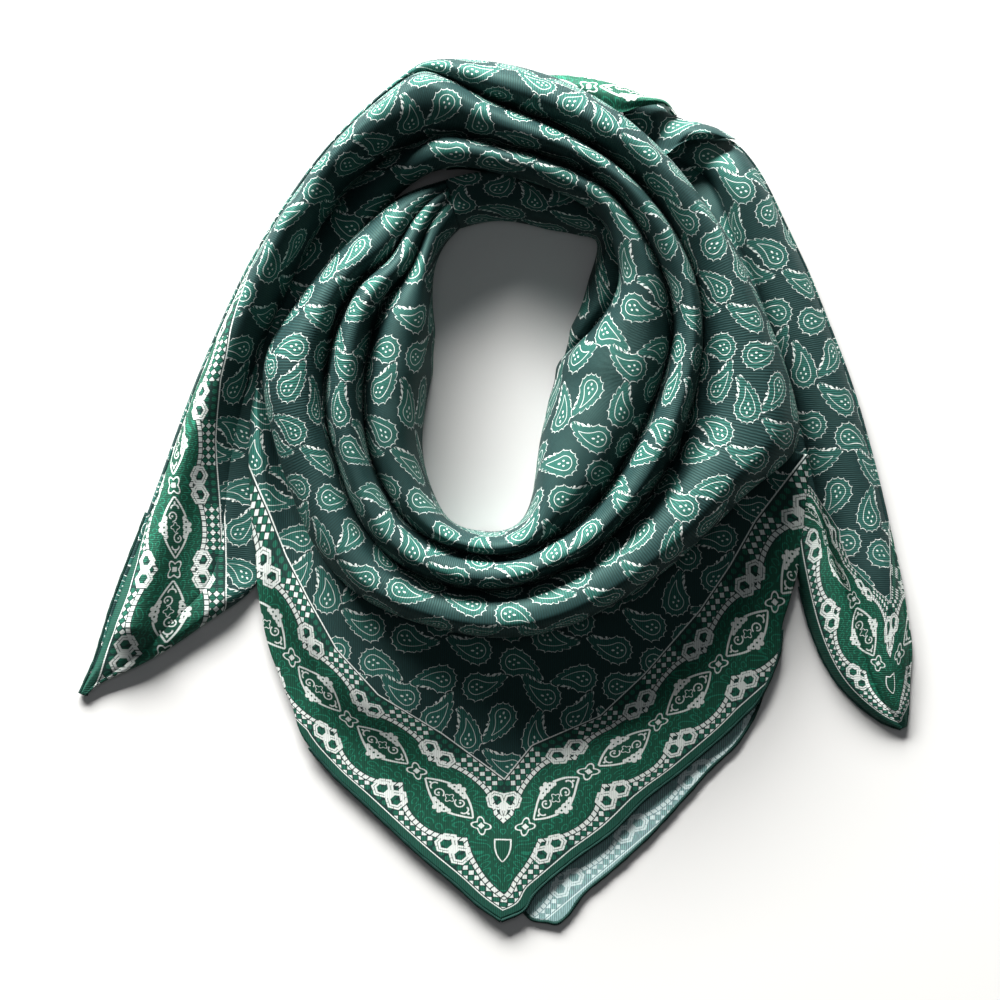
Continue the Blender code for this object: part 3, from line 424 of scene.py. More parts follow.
def roll_prints(grid, unit, crests, ends, shifts):
    """Cloth coordinates of each roll: its crest's plan point + arc length across * section
    direction + the roll's own shift."""
    arc = lengths_along(grid, 1)
    sides = np.zeros((grid.shape[0], grid.shape[1] - 1, 2, 2))
    start = 0
    for crest, end, shift in zip(crests, ends, shifts):
        place = (grid[:, crest, None, :2] + (arc - arc[:, crest, None])[..., None] * unit[:, None]
                 + np.array(shift))
        sides[:, start:end] = both_sides(place)[:, start:end]
        start = end
    return sides


def roll_weave(grid, crest, start):
    """Rib coordinates: along the crest column, and across from the start column."""
    arc = lengths_along(grid, 1)
    along = lengths_along(grid, 0)[:, crest, None]
    return np.stack([along + 0 * arc, arc - arc[:, start, None]], -1)


def plain_weave(grid):
    """Rib coordinates: the lengths walked along and across."""
    return np.stack([lengths_along(grid, 0), lengths_along(grid, 1)], -1)


def named_rows(at, inner, outer, g1, g2, h_in, h_out):
    middle = [at[key] for key in ("inner_crest", "middle_crest", "outer_crest", "inner_sink",
                                  "outer_sink")]
    return dict(zip(ROW_KEYS, (inner, outer, g1, g2, *middle, at[h_in], at[h_out])))


def band_rows(azimuths):
    at = table_at(BAND_SECTIONS, BAND_COLUMNS, azimuths, "azimuth")
    width = at["lip"] - at["edge"]
    return named_rows(at, ring_point(azimuths, at["edge"]), ring_point(azimuths, at["lip"]),
                      (at["inner_groove"] - at["edge"]) / width,
                      (at["outer_groove"] - at["edge"]) / width, "edge_height", "lip_height")


def tail_rows(sections, count):
    at = table_at(sections, TAIL_COLUMNS, np.linspace(0.0, len(sections) - 1.0, count))
    return named_rows(at, np.stack([at["inner_x"], at["inner_y"]], 1),
                      np.stack([at["outer_x"], at["outer_y"]], 1),
                      at["inner_valley"], at["outer_valley"], "inner_height", "outer_height")


# ---------------------------------------------------------------- closed bodies
def loop_mesh(name, sections, uv, material):
    """A closed body through a row of closed sections, each end closed on its own middle."""
    rows, around = sections.shape[:2]
    count = rows * around
    points, flat = (np.concatenate([v.reshape(-1, v.shape[-1]), v[[0, -1]].mean(axis=1)])
                    for v in (sections, uv))
    i, j = np.meshgrid(np.arange(rows - 1), np.arange(around), indexing="ij")
    k = (j + 1) % around
    quads = np.stack([i * around + j, i * around + k, (i + 1) * around + k, (i + 1) * around + j],
                     -1).reshape(-1, 4)
    j, k, last = j[0], k[0], count - around
    caps = np.concatenate([np.stack([j, 0 * j + count, k], -1),
                           np.stack([last + j, last + k, 0 * j + count + 1], -1)])
    order = np.concatenate([quads.ravel(), caps.ravel()])
    starts = np.concatenate([np.arange(0, quads.size, 4),
                             quads.size + np.arange(0, caps.size, 3)])
    layers = dict.fromkeys(("print", "field", "weave"), flat[order])
    piece = make_piece(name, points, order, starts, layers, material)
    triangles = np.concatenate([quads[:, :3], quads[:, [0, 2, 3]], caps])
    a, b, c = (points[triangles[:, corner]] for corner in range(3))
    if (a * np.cross(b, c)).sum() < 0:      # six times the volume
        piece.data.flip_normals()
    return piece


def hem(name, line, inward, height, around=10):
    """A rolled hem along a plan line, moved inward, its radius a little uneven by hand."""
    along = np.gradient(line, axis=0)
    side = unit_vectors(np.stack([along[:, 1], -along[:, 0]], 1))
    path = np.concatenate([line + side * inward, np.full((len(line), 1), height)], 1)
    along = unit_vectors(np.gradient(path, axis=0))
    side = unit_vectors(np.cross(along, (0.0, 0.0, 1.0)))
    up = np.cross(side, along)
    walked = lengths_along(path[:, None], 0)[:, 0]
    uneven = 1.0 + 0.10 * np.sin(walked / 2.3) + 0.07 * np.sin(walked / 0.97 + 1.3)
    turn = np.linspace(0, 2 * math.pi, around, endpoint=False)
    ring = np.cos(turn)[None, :, None] * side[:, None] + np.sin(turn)[None, :, None] * up[:, None]
    sections = path[:, None] + ring * (HEM_RADIUS * uneven)[:, None, None]
    uv = np.stack([walked[:, None] + 0 * turn, HEM_RADIUS * turn + 0 * walked[:, None]], -1)
    return loop_mesh(name, sections, uv, HEM)


LAYER = 1.6                 # mm, one ripple on a side of the folded layers
LAYER_REACH = 0.7           # mm, how far a ripple stands out
LAYER_COLUMNS, LAYER_STEPS = 24, 25
LEAST_TOP = 0.9             # mm


def layers_body(name, grid, keep, rise_share):
    """Folded layers under a sheet: a rounded body with layered sides, flat where it rests.

    keep is the pair of column shares between which it lies; its top is rise_share of the sheet's
    height; each side has ripples of one layer each: side = LAYER_REACH * |sin(pi * z / LAYER)|."""
    first, last = (int(share * (grid.shape[1] - 1)) for share in keep)
    top = grid[:, np.linspace(first, last, LAYER_COLUMNS).round().astype(int)].copy()
    w = np.linspace(-1, 1, LAYER_COLUMNS)
    z = np.minimum(top[..., 2], np.median(top[..., 2], axis=1)[:, None])
    top[..., 2] = np.maximum(z * rise_share * (1 - 0.85 * np.abs(w) ** 5), LEAST_TOP)
    unit = unit_vectors(top[:, -1, :2] - top[:, 0, :2])
    down = np.linspace(1, 0, LAYER_STEPS + 1)[1:]
    sides = []
    for end, sign in ((-1, 1.0), (0, -1.0)):
        z = top[:, end, 2][:, None] * down
        ripple = LAYER_REACH * np.abs(np.sin(math.pi * z / LAYER))
        plan = top[:, end, None, :2] + sign * unit[:, None] * ripple[..., None]
        sides.append(np.concatenate([plan, z[..., None]], -1))
    floor = top[:, ::-1].copy()
    floor[..., 2] = 0.0
    loop = np.concatenate([top, sides[0], floor[:, 1:-1], sides[1][:, ::-1]], 1)
    # the body takes the plain near-black material, painted shade on the folded layers
    return loop_mesh(name, loop, loop[..., :2] + loop[..., 2:] + FAR_INSIDE, LAYERS_IN_PAINTED_SHADE)


# ---------------------------------------------------------------- node shorthand
class Net:
    """A node tree in which values are written as formulas."""

    def __init__(self, tree):
        self.tree = tree

    def node(self, kind, **settings):
        made = self.tree.nodes.new(kind)
        for key, value in settings.items():
            setattr(made, key, value)
        return made

    def put(self, socket, value):
        if isinstance(value, Value):
            self.tree.links.new(value.socket, socket)
        else:
            socket.default_value = value

    def math(self, operation, *values):
        made = self.node("ShaderNodeMath", operation=operation)
        for socket, value in zip(made.inputs, values):
            self.put(socket, value)
        return Value(self, made.outputs[0])

    def vector(self, operation, *values):
        made = self.node("ShaderNodeVectorMath", operation=operation)
        sockets = [made.inputs[k] for k in ((0, 3) if operation == "SCALE" else (0, 1, 2))]
        for socket, value in zip(sockets, values):
            self.put(socket, value)
        out = "Value" if operation in ("LENGTH", "DOT_PRODUCT", "DISTANCE") else "Vector"
        return Value(self, made.outputs[out])

    def split(self, vector):
        made = self.node("ShaderNodeSeparateXYZ")
        self.put(made.inputs[0], vector)
        return [Value(self, made.outputs[k]) for k in range(3)]

    def join(self, x, y, z=0.0):
        made = self.node("ShaderNodeCombineXYZ")
        for k, value in enumerate((x, y, z)):
            self.put(made.inputs[k], value)
        return Value(self, made.outputs[0])

    def step(self, low, high, value):
        """0 below low, 1 above high, smooth between; turned round where low > high."""
        made = self.node("ShaderNodeMapRange", interpolation_type="SMOOTHSTEP")
        ends = (low, high, 0.0, 1.0) if low < high else (high, low, 1.0, 0.0)
        self.put(made.inputs["Value"], value)
        for name, end in zip(("From Min", "From Max", "To Min", "To Max"), ends):
            made.inputs[name].default_value = end
        return Value(self, made.outputs["Result"])

    def mix(self, share, first, second, kind="RGBA"):
        made = self.node("ShaderNodeMix", data_type=kind)
        sockets = {"RGBA": (0, 6, 7, 2), "VECTOR": (0, 4, 5, 1), "FLOAT": (0, 2, 3, 0)}[kind]
        self.put(made.inputs[sockets[0]], share)
        self.put(made.inputs[sockets[1]], first)
        self.put(made.inputs[sockets[2]], second)
        return Value(self, made.outputs[sockets[3]])

    def noise(self, vector, scale, detail):
        made = self.node("ShaderNodeTexNoise", noise_dimensions="3D")
        self.put(made.inputs["Vector"], vector)
        made.inputs["Scale"].default_value = scale
        made.inputs["Detail"].default_value = detail
        return Value(self, made.outputs["Fac"])

    def line(self, distance, half, soft=0.12):
        """1 on a line where distance is 0."""
        return self.step(half + soft, half - soft, distance.abs())

    def inside(self, distance, soft=0.12):
        return self.step(soft, -soft, distance)


class Value:
    """A socket that can be added, multiplied and so on."""

    def __init__(self, net, socket):
        self.net = net
        self.socket = socket

    def __rsub__(self, other):
        return self.net.math("SUBTRACT", other, self)

    def wrap(self, low, high):
        return self.net.math("WRAP", self, high, low)

    def clamp(self, low, high):
        made = self.net.node("ShaderNodeClamp")
        self.net.put(made.inputs[0], self)
        made.inputs[1].default_value = low
        made.inputs[2].default_value = high
        return Value(self.net, made.outputs[0])


def give_method(method, operation):
    """Lets a method of Value stand for an operation of the Math node."""
    setattr(Value, method, lambda self, *others: self.net.math(operation, self, *others))


for method, operation in (("__add__", "ADD"), ("__radd__", "ADD"), ("__sub__", "SUBTRACT"),
                          ("__mul__", "MULTIPLY"), ("__rmul__", "MULTIPLY"),
                          ("__truediv__", "DIVIDE"), ("abs", "ABSOLUTE"), ("min", "MINIMUM"),
                          ("max", "MAXIMUM"), ("power", "POWER")):
    give_method(method, operation)


def new_group(name, inputs, outputs):
    """A node group with named sockets: its net, its inputs as values and its output node."""
    tree = bpy.data.node_groups.new(name, "ShaderNodeTree")
    for way, sockets in (("INPUT", inputs), ("OUTPUT", outputs)):
        for label, kind in sockets:
            tree.interface.new_socket(name=label, in_out=way, socket_type="NodeSocket" + kind)
    net = Net(tree)
    start, end = net.node("NodeGroupInput"), net.node("NodeGroupOutput")
    given = [Value(net, start.outputs[k]) for k in range(len(inputs))]
    return net, given, end


def use_group(net, group, *values):
    made = net.node("ShaderNodeGroup")
    made.node_tree = group
    for socket, value in zip(made.inputs, values):
        net.put(socket, value)
    return [Value(net, socket) for socket in made.outputs if socket.name]


def hypot(x, y):
    return x.net.vector("LENGTH", x.net.join(x, y))


# ---------------------------------------------------------------- the paisley field
PAISLEY_TILE = 63.0         # mm, both ways
PAISLEY_PLACES = (          # belly x, belly y, heading in degrees, which way the tip curls
    (22.8, 31.7, 255, 1), (42.3, 4.3, 328, -1), (42.7, 40.5, 161, 1), (11.1, 45.2, 358, -1),
    (37.6, 20.3, 105, 1), (58.8, 48.8, 165, -1), (26.9, 8.9, 173, 1), (7.3, 21.5, 80, -1),
    (11.5, 61.5, 180, 1), (57.6, 11.2, 132, -1), (27.8, 56.3, 352, 1), (55.0, 30.6, 34, -1),
)
# the heart's seeds (x, y, how much longer than wide) and the round dots (x, y, radius)
SEEDS = ((0.0, -1.9, 1.3), (0.0, 2.2, 1.5), (-1.2, 0.1, 1.0), (1.2, 0.1, 1.0))
DOTS = ((5.4, 5.2, 0.55), (3.0, 10.4, 0.6), (2.4, 13.4, 0.7), (-1.6, 14.0, 0.5))
DROP_SCALE = 1.02
TIP_BEND = 0.047            # 1 / mm, how fast a drop's axis curls


def drop_distance(net, x, y, belly, tip, length):
    """Signed distance to the hull of a belly circle at 0 and a tip circle at length up the axis:
    b = (belly - tip) / length, and beside the hull |x| * sqrt(1 - b^2) + y * b - belly."""
    b = (belly - tip) / length
    a = math.sqrt(1 - b * b)
    side = x.abs()
    along = side * (-b) + y * a
    low = hypot(side, y) - belly
    high = hypot(side, y - length) - tip
    flank = side * a + y * b - belly
    below = net.math("LESS_THAN", along, 0.0)
    above = net.math("GREATER_THAN", along, a * length)
    return net.mix(above, net.mix(below, flank, low, "FLOAT"), high, "FLOAT")


def paisley_group():
    """Masks of the field: outline, body and heart of the nearest drop. In mm on the cloth."""
    net, (place,), end = new_group("paisley field", [("Place", "Vector")],
                                   [("Outline", "Float"), ("Body", "Float"),
                                    ("Heart", "Float")])
    tile = (PAISLEY_TILE / 2,) * 3
    best, local = None, None
    for x, y, heading, curl in PAISLEY_PLACES:
        offset = net.vector("SUBTRACT", place, (x, y, 0.0))
        offset = net.vector("WRAP", offset, tile, tuple(-v for v in tile))
        turned = net.node("ShaderNodeVectorRotate", rotation_type="Z_AXIS")
        net.put(turned.inputs["Vector"], offset)
        turned.inputs["Angle"].default_value = math.radians(90 - heading)
        mine = net.vector("MULTIPLY", Value(net, turned.outputs[0]), (float(curl), 1.0, 0.0))
        tip = net.vector("LENGTH", net.vector("SUBTRACT", mine, (3.2, 11.4, 0.0))) - 3.6
        near = (net.vector("LENGTH", mine) - 7.4).min(tip)
        if best is None:
            best, local = near, mine
        else:
            closer = net.math("LESS_THAN", near, best)
            local = net.mix(closer, local, mine, "VECTOR")
            best = best.min(near)
    x, y, _ = net.split(net.vector("SCALE", local, DROP_SCALE))
    high = (y - 2.0).max(0.0)
    x = x - high * high * TIP_BEND
    around = net.math("ARCTAN2", x, (y - 4.2) * 0.70)
    wave = net.math("SINE", around * 9.5 + 0.4).abs()
    toward_tip = net.step(3.0, 9.0, y)
    teeth = (1.0 - wave).power(2.0)
    lobes = net.mix(toward_tip, teeth, wave, "FLOAT")
    reach = toward_tip * 0.45 + net.step(4.0, -4.0, x) * 0.25 + 0.75
    body = drop_distance(net, x, y, 6.1, 1.4, 12.0)
    edge = body - lobes * reach
    heart = drop_distance(net, x, y + 0.3, 3.5, 0.2, 9.6)
    dots = hypot((x - 4.2) * 1.5, (y - 7.8) * 0.8 + (x - 4.2) * 0.5) - 0.9
    for dot_x, dot_y, radius in DOTS:
        dots = dots.min(hypot(x - dot_x, y - dot_y) - radius)
    for seed_x, seed_y, longer in SEEDS:
        dots = dots.min(hypot((x - seed_x) * 1.25, (y - seed_y) / longer) - 0.5)
    lines = net.line(edge, 0.15).max(net.line(heart, 0.13)).max(net.inside(dots))
    net.put(end.inputs["Outline"], lines)
    net.put(end.inputs["Body"], net.inside(edge))
    net.put(end.inputs["Heart"], net.inside(heart))
    return net.tree


# ---------------------------------------------------------------- the ornamental border
UNIT = 0.45                 # the border is laid out in units of this many mm
LINE_OUT, LINE_IN = 10.0, 107.0
FIRST_MEDALLION, PITCH = 128.5, 84.0
MIDDLE = 57.0
CHECK = 7.6                 # one square of the checker strips
SCROLL_PITCH = 9.6
BEAD_PITCH = 5.6
WAVE_POWER = 2.2            # how late the bead lines turn toward each other


def border_group():
    """Masks of the border, from q, the distance from the nearer hem, and p, from the other.

    In units: the outer bead line runs at q = 21.5 + 15.5 * e^WAVE_POWER and the inner one at
    q = 89 - 13 * e^WAVE_POWER, where e goes from 0 beside a medallion to 1 midway between two."""
    outputs = ("White", "Emerald", "Strip", "Scroll", "Border")
    net, (q, p), end = new_group(
        "ornamental border", [("q", "Float"), ("p", "Float")],
        [(name, "Float") for name in outputs])
    half = PITCH / 2
    t = (p - FIRST_MEDALLION).wrap(-half, half)
    first = FIRST_MEDALLION - half
    corner = net.math("LESS_THAN", p, first)
    e_plain = (t.abs() / half).clamp(0, 1)
    e_corner = ((p - 23.0) / (first - 23.0)).clamp(0, 1)
    e_outer = net.mix(corner, e_plain, e_corner, "FLOAT").power(WAVE_POWER)
    e_inner = net.mix(corner, e_plain, 1.0, "FLOAT").power(WAVE_POWER)
    outer = e_outer * 15.5 + 21.5
    inner = 89.0 - e_inner * 13.0
    bead = (p / BEAD_PITCH).wrap(0, 1)
    beads = net.step(0.10, 0.20, bead) * net.step(1.0, 0.90, bead)
    bead_line = net.line(q - outer, 2.0, 0.3).max(net.line(q - inner, 2.0, 0.3)) * beads
    emerald = net.inside(outer + 3.0 - q, 0.3) * net.inside(q - inner + 3.0, 0.3)

    # between two medallions: a flower in the middle, hexagon pairs at both bead lines
    u = net.mix(corner, (p - first).wrap(-half, half), p - first, "FLOAT")
    v = q - MIDDLE
    angle = net.math("ARCTAN2", v, u * 0.8)
    petals = hypot(u * 0.8, v) + net.math("COSINE", angle * 4.0) * 1.8 - 6.4
    square = u.abs().max(v.abs()) - 2.4
    flower = net.line(petals, 0.75, 0.3).max(net.inside(square, 0.3))
    hexes = None
    for level, away in ((24.5, 9.2), (86.0, 9.6)):
        hx, hy = u.abs() - away, q - level
        hexagon = hx.abs().max(hx.abs() * 0.5 + hy.abs() * 0.87)
        ring = net.step(9.4, 8.8, hexagon) * net.step(4.4, 4.9, hexagon)
        gap = net.line(hexagon - 6.9, 0.35, 0.2)
        spokes = net.line(net.math("SINE", net.math("ARCTAN2", hy, hx) * 3.0), 0.12, 0.1)
        ring = ring * (1.0 - gap * 0.8) * (1.0 - spokes * net.step(6.5, 7.2, hexagon) * 0.8)
        bridge = net.inside(hypot(u, q - level) - 4.2, 0.4)
        both = ring.max(bridge)
        hexes = both if hexes is None else hexes.max(both)

    # the medallion: a pointed oval, the same when turned half round, with scrolls and lace
    way = net.math("SIGN", t + 0.01)
    sx, sy = t.abs(), (q - MIDDLE) * way
    waist = (sx / 31.0).clamp(0, 1)
    oval = sy.abs() - (1.0 - waist.power(1.7)) * 14.5
    leaf = net.line(oval * 0.85, 0.95, 0.3) * net.step(31.5, 30.5, sx)
    leaf = leaf * net.step(1.0, 3.0, sx - net.step(0.0, 4.0, sy) * 8.0)
    lace, side = None, sy.abs()
    for lx, ly, size in ((0.0, 12.6, 4.0), (5.4, 12.0, 3.2), (2.8, 16.0, 2.4), (9.2, 10.6, 2.3)):
        lump = hypot(sx - lx, side - ly) - size
        lace = lump if lace is None else lace.min(lump)
    holes = hypot((sx / 5.2).wrap(-0.5, 0.5) * 5.2, side - 12.4)
    lace = net.inside(lace, 0.4) * net.step(0.8, 1.3, holes)
    curl_x, curl_y = sx - 11.0, sy + 3.0
    turn = net.math("ARCTAN2", curl_y, curl_x)
    reach = hypot(curl_x, curl_y)
    curl = net.line(reach - 3.9 - turn * 0.45, 0.65, 0.3) * net.step(-2.9, -2.5, turn)
    curl = curl.max(net.inside(reach - 1.1, 0.3))
    bract = net.line(hypot(sx - 19.0, side * 0.9) - 3.6, 0.7, 0.3) * net.step(18.0, 19.5, sx)
    bract = bract.max(net.inside(hypot((sx - 24.5) * 0.8, sy) - 1.1, 0.3))
    petal = hypot(t, q - MIDDLE)
    ripple = net.math("COSINE", net.math("ARCTAN2", sy, t) * 4.0)
    heart = net.line(petal - 3.9 - ripple, 0.45, 0.3)
    medallion = leaf.max(lace).max(curl).max(bract).max(heart) * (1.0 - corner)

    # the corner: a small shield on the mitre
    across = (p - q) * 0.7071
    down = (p + q) * 0.7071 - 79.5
    rise = down.clamp(-16.0, 8.0)
    shield_w = (1.0 - ((8.0 - rise) / 24.0).power(3.2)) * 7.6
    shield = net.line(across.abs() - shield_w, 0.7, 0.3)
    shield = shield * net.step(-16.5, -15.5, down) * net.step(8.6, 7.8, down)
    shield = shield.max(net.line(down - 7.8, 0.7, 0.3) * net.step(8.4, 7.4, across.abs()))
    shield = shield * corner

    # checker strips beside the thin lines
    def checks(from_line, rows):
        cx = (p / CHECK).wrap(-0.5, 0.5) * CHECK
        cy = (from_line / CHECK).wrap(0.0, 1.0) * CHECK - CHECK / 2
        corners = cx.abs() + cy.abs()
        white = net.step(4.3, 4.8, corners)
        disc = net.inside(hypot(cx, cy) - 2.6, 0.4)
        band = net.step(0.0, 0.4, from_line)
        band = band * net.step(rows * CHECK, rows * CHECK - 0.4, from_line)
        return white * band, disc * band

    outer_white, outer_disc = checks(q - 11.4, 2.0)
    inner_white, inner_disc = checks(105.4 - q, 3.0)
    clear_out = net.step(-2.6, -3.2, q - outer)
    clear_in = net.step(2.6, 3.2, q - inner)
    strips = (outer_white * clear_out).max(inner_white * clear_in)
    discs = (outer_disc * clear_out).max(inner_disc * clear_in)
    patches = net.line((p / 10.4).wrap(-0.5, 0.5) * 10.4, 3.6, 0.4)
    patches = patches * net.step(21.5, 22.0, q) * clear_out
    hex_room = net.step(19.0, 20.0, u.abs()).max(net.step(34.5, 35.0, q) * net.step(76.0, 75.0, q))
    strips = strips * hex_room
    thin = net.line(q - LINE_OUT, 0.55, 0.25).max(net.line(q - LINE_IN, 0.6, 0.25))
    white = strips.max(bead_line).max(flower * emerald).max(hexes)
    white = white.max(medallion).max(shield).max(thin)
    white = white * net.step(109.0, 108.4, q)

    # scrolls, tone on tone
    drift = net.noise(net.join(p, q), 0.035, 0.0) * 24.0
    sx, sy = ((v / SCROLL_PITCH).wrap(-0.5, 0.5) * SCROLL_PITCH
              for v in (p + drift, q - drift))
    turn = net.math("ARCTAN2", sy, sx)
    scroll = net.line(hypot(sx, sy) - 2.9 - turn * 0.4, 0.55, 0.4)
    scroll = scroll * net.step(-2.7, -2.2, turn) * emerald * net.step(0.5, 1.5, oval)
    hem_band = net.step(LINE_OUT - 0.2, LINE_OUT - 0.8, q) * 0.45
    strip = discs.max(patches * 0.7).max(hem_band)
    values = (white, emerald, strip, scroll, net.step(107.2, 106.6, q))
    for name, value in zip(outputs, values):
        net.put(end.inputs[name], value)
    return net.tree


# ---------------------------------------------------------------- the print as one colour
GROUND = (0.003, 0.016, 0.018, 1.0)
BODY = (0.010, 0.068, 0.056, 1.0)
HEART = (0.011, 0.078, 0.062, 1.0)
WHITE = (0.62, 0.65, 0.63, 1.0)
EMERALD = (0.001, 0.045, 0.024, 1.0)
SCROLL = (0.008, 0.170, 0.100, 1.0)
BORDER_GROUND = (0.002, 0.014, 0.013, 1.0)
STRIP_GREEN = (0.004, 0.080, 0.048, 1.0)
SHINE_TINT = (0.56, 1.0, 0.88, 1.0)
BUMP_STRENGTH, BUMP_HEIGHT = 0.6, 0.0002
RIB_PITCH = 0.95            # mm
MM_IN_METRE = 1000.0


def print_group(paisley, border):
    """Colour of the printed face from cloth coordinates (a, b) in metres, and its white mask."""
    net, (place, field_place), end = new_group(
        "silk print", [("Place", "Vector"), ("Field Place", "Vector")],
        [("Color", "Color"), ("White", "Float")])
    a, b, _ = net.split(net.vector("SCALE", place, MM_IN_METRE))
    q, p = a.min(b) / UNIT, a.max(b) / UNIT
    outline, body, heart = use_group(net, paisley, net.vector("SCALE", field_place, MM_IN_METRE))
    white, emerald, strip, scroll, in_border = use_group(net, border, q, p)
    field = net.mix(body, GROUND, BODY)
    field = net.mix(heart, field, HEART)
    edge = net.mix(strip, BORDER_GROUND, STRIP_GREEN)
    edge = net.mix(emerald, edge, EMERALD)
    edge = net.mix(scroll * 0.7, edge, SCROLL)
    lines = net.mix(in_border, outline, white, "FLOAT").max(white)
    colour = net.mix(in_border, field, edge)
    colour = net.mix(lines, colour, WHITE)
    net.put(end.inputs["Color"], colour)
    net.put(end.inputs["White"], lines)
    return net.tree


def weave_group():
    """Twill ribs from rib coordinates in metres: a rib height, and the light and shade of ribs and
    fibres, painted into the colour as one factor.
    """
    net, (place,), end = new_group("twill", [("Ribs", "Vector")],
                                   [("Rib", "Float"), ("Shade", "Float")])
    in_mm = net.vector("SCALE", place, MM_IN_METRE)
    x, y, _ = net.split(in_mm)
    waver = net.noise(in_mm, 0.35, 2.0)
    rib = net.math("SINE", x * (2 * math.pi / RIB_PITCH) + waver * 2.5) * 0.5 + 0.5
    stretched = net.join(x * 2.2, y * 0.35)
    fibre = net.noise(stretched, 1.0, 2.0)
    # painted light and shade of the ribs and fibres, later multiplied into the base colour
    shade = (rib - 0.5) * 1.1 * net.step(0.2, 0.6, fibre) + (fibre - 0.5) * 0.9 + 1.0
    net.put(end.inputs["Rib"], rib * 0.6 + fibre * 0.4)
    net.put(end.inputs["Shade"], shade.clamp(0.4, 1.7))
    return net.tree


def make_material(name):
    material = bpy.data.materials.new(name)
    material.use_nodes = True
    tree = material.node_tree
    return material, Net(tree), tree.nodes["Principled BSDF"].inputs


def uv_place(net, layer):
    return Value(net, net.node("ShaderNodeUVMap", uv_map=layer).outputs[0])


def silk(name, roughness, specular, plain=None, strength=1.0, toward=None):
    """The printed face, a paler face with the print mixed toward one tone, or a plain colour; each
    multiplied by the weave's painted light and shade.
    """
    material, net, shader = make_material(name)
    rib, shade = use_group(net, TWILL, uv_place(net, "weave"))
    colour = plain
    if plain is None:
        colour, white = use_group(net, PRINT, uv_place(net, "print"), uv_place(net, "field"))
        # less painted weave light and shade on the white print
        shade = net.mix(white * 0.7, shade, 1.0, "FLOAT")
        if strength < 1.0:
            colour = net.mix(1.0 - strength, colour, toward)
    # base colour times the painted light and shade of the weave
    net.put(shader["Base Color"], net.vector("SCALE", colour, shade))
    shader["Roughness"].default_value = roughness
    shader["Specular IOR Level"].default_value = specular
    shader["Specular Tint"].default_value = SHINE_TINT
    bump = net.node("ShaderNodeBump")
    bump.inputs["Strength"].default_value = BUMP_STRENGTH
    bump.inputs["Distance"].default_value = BUMP_HEIGHT
    net.put(bump.inputs["Height"], rib)
    net.put(shader["Normal"], Value(net, bump.outputs[0]))
    return material


# ---------------------------------------------------------------- materials
PRINT = print_group(paisley_group(), border_group())
TWILL = weave_group()
FACE = silk("printed silk", 0.70, 0.52)
REVERSE = silk("printed silk reverse", 0.70, 0.52, strength=0.60, toward=(0.46, 0.68, 0.72, 1.0))
HEM = silk("rolled hem silk", 0.75, 0.25, plain=(0.004, 0.022, 0.018))
# a plain near-black, darker than the printed silk: painted shade, so that the folded layers read as
# lying in shadow
LAYERS_IN_PAINTED_SHADE = silk("folded silk inside, painted shade", 0.75, 0.25, plain=(0.004, 0.024, 0.021))

# ---------------------------------------------------------------- the band and the left tail
BAND_ROWS, TAIL_ROWS = 430, 190
ROLL_COUNTS = (12, 11, 14)  # points across the first leg, the inner legs and the last leg
LEFT_TAIL_PLACE = (BORDER_WIDTH + 122.6, 111.9 + FAR_INSIDE)    # (a, b) at the plan's origin
OUTER_ROLL_PLACE = (400.0, 300.0)
THIN_LINE = (               # y and x of the border's thin inner line down the left tail
    (-100.0, -121.0), (-49.1, -121.3), (-22.1, -121.7), (-4.1, -122.6), (9.5, -123.5),
    (23.0, -124.4), (36.5, -124.0), (50.0, -123.1), (61.2, -120.4), (72.5, -118.6),
    (83.7, -116.3), (92.7, -114.1),
)
STRETCH = (                 # y, and how much wider the border is than it looks there
    (-90.0, 0.72), (-83.0, 0.764), (-60.0, 0.866), (-45.0, 0.98), (-31.0, 1.05), (0.0, 1.05),
    (90.0, 1.0),
)

azimuths = np.linspace(106.0, 460.0, BAND_ROWS)
band, left = band_rows(azimuths), tail_rows(LEFT_TAIL_SECTIONS, TAIL_ROWS)
ribbon = {key: averaged(np.concatenate([band[key], left[key]]), 5) for key in band}
blend_to_tail = smoothstep(BAND_ROWS - 25, BAND_ROWS + 15, np.arange(BAND_ROWS + TAIL_ROWS))
front = smoothstep(205.0, 245.0, azimuths) * smoothstep(440.0, 400.0, azimuths)
front = np.concatenate([front, np.zeros(TAIL_ROWS)])
places = [p + (f - p) * front + (t - p) * blend_to_tail
          for p, f, t in zip(CREST_PLACES, FRONT_CREST_PLACES, TAIL_CREST_PLACES)]
tuck_in = 1.2 + 3.2 * smoothstep(6.0, 22.0, ribbon["h_in"])
grid, unit, crests, ends = roll_grid(ribbon, places, ROLL_COUNTS, BAND_TUCK, tuck_in)
soft_lines(grid[BAND_ROWS - 20:], LEFT_TAIL_FOLDS)

field = roll_prints(grid, unit, crests, ends, (LEFT_TAIL_PLACE,) * 2 + (OUTER_ROLL_PLACE,))
prints = field.copy()
tail_part = prints[BAND_ROWS + 20:]
plan_y = tail_part[..., 1] - LEFT_TAIL_PLACE[1]
from_line = tail_part[..., 0] - LEFT_TAIL_PLACE[0] - read(THIN_LINE, plan_y)
moved = np.where(from_line < 0, from_line * read(STRETCH, plan_y), from_line) + BORDER_WIDTH
fade = smoothstep(0, 60, np.arange(len(tail_part)))[:, None, None]
tail_part[..., 0] += (moved - tail_part[..., 0]) * fade
ribbon_piece = sheet_mesh("wound_band_and_left_tail", grid, prints, field,
                          roll_weave(grid, crests[1], crests[1]), FACE)
band_layers = layers_body("folded_layers_of_the_band", grid[:BAND_ROWS + 10], (0.13, 0.80), 0.42)
left_layers = layers_body("folded_layers_of_the_left_tail", grid[BAND_ROWS + 9:-14],
                          (0.14, 0.81), 0.50)

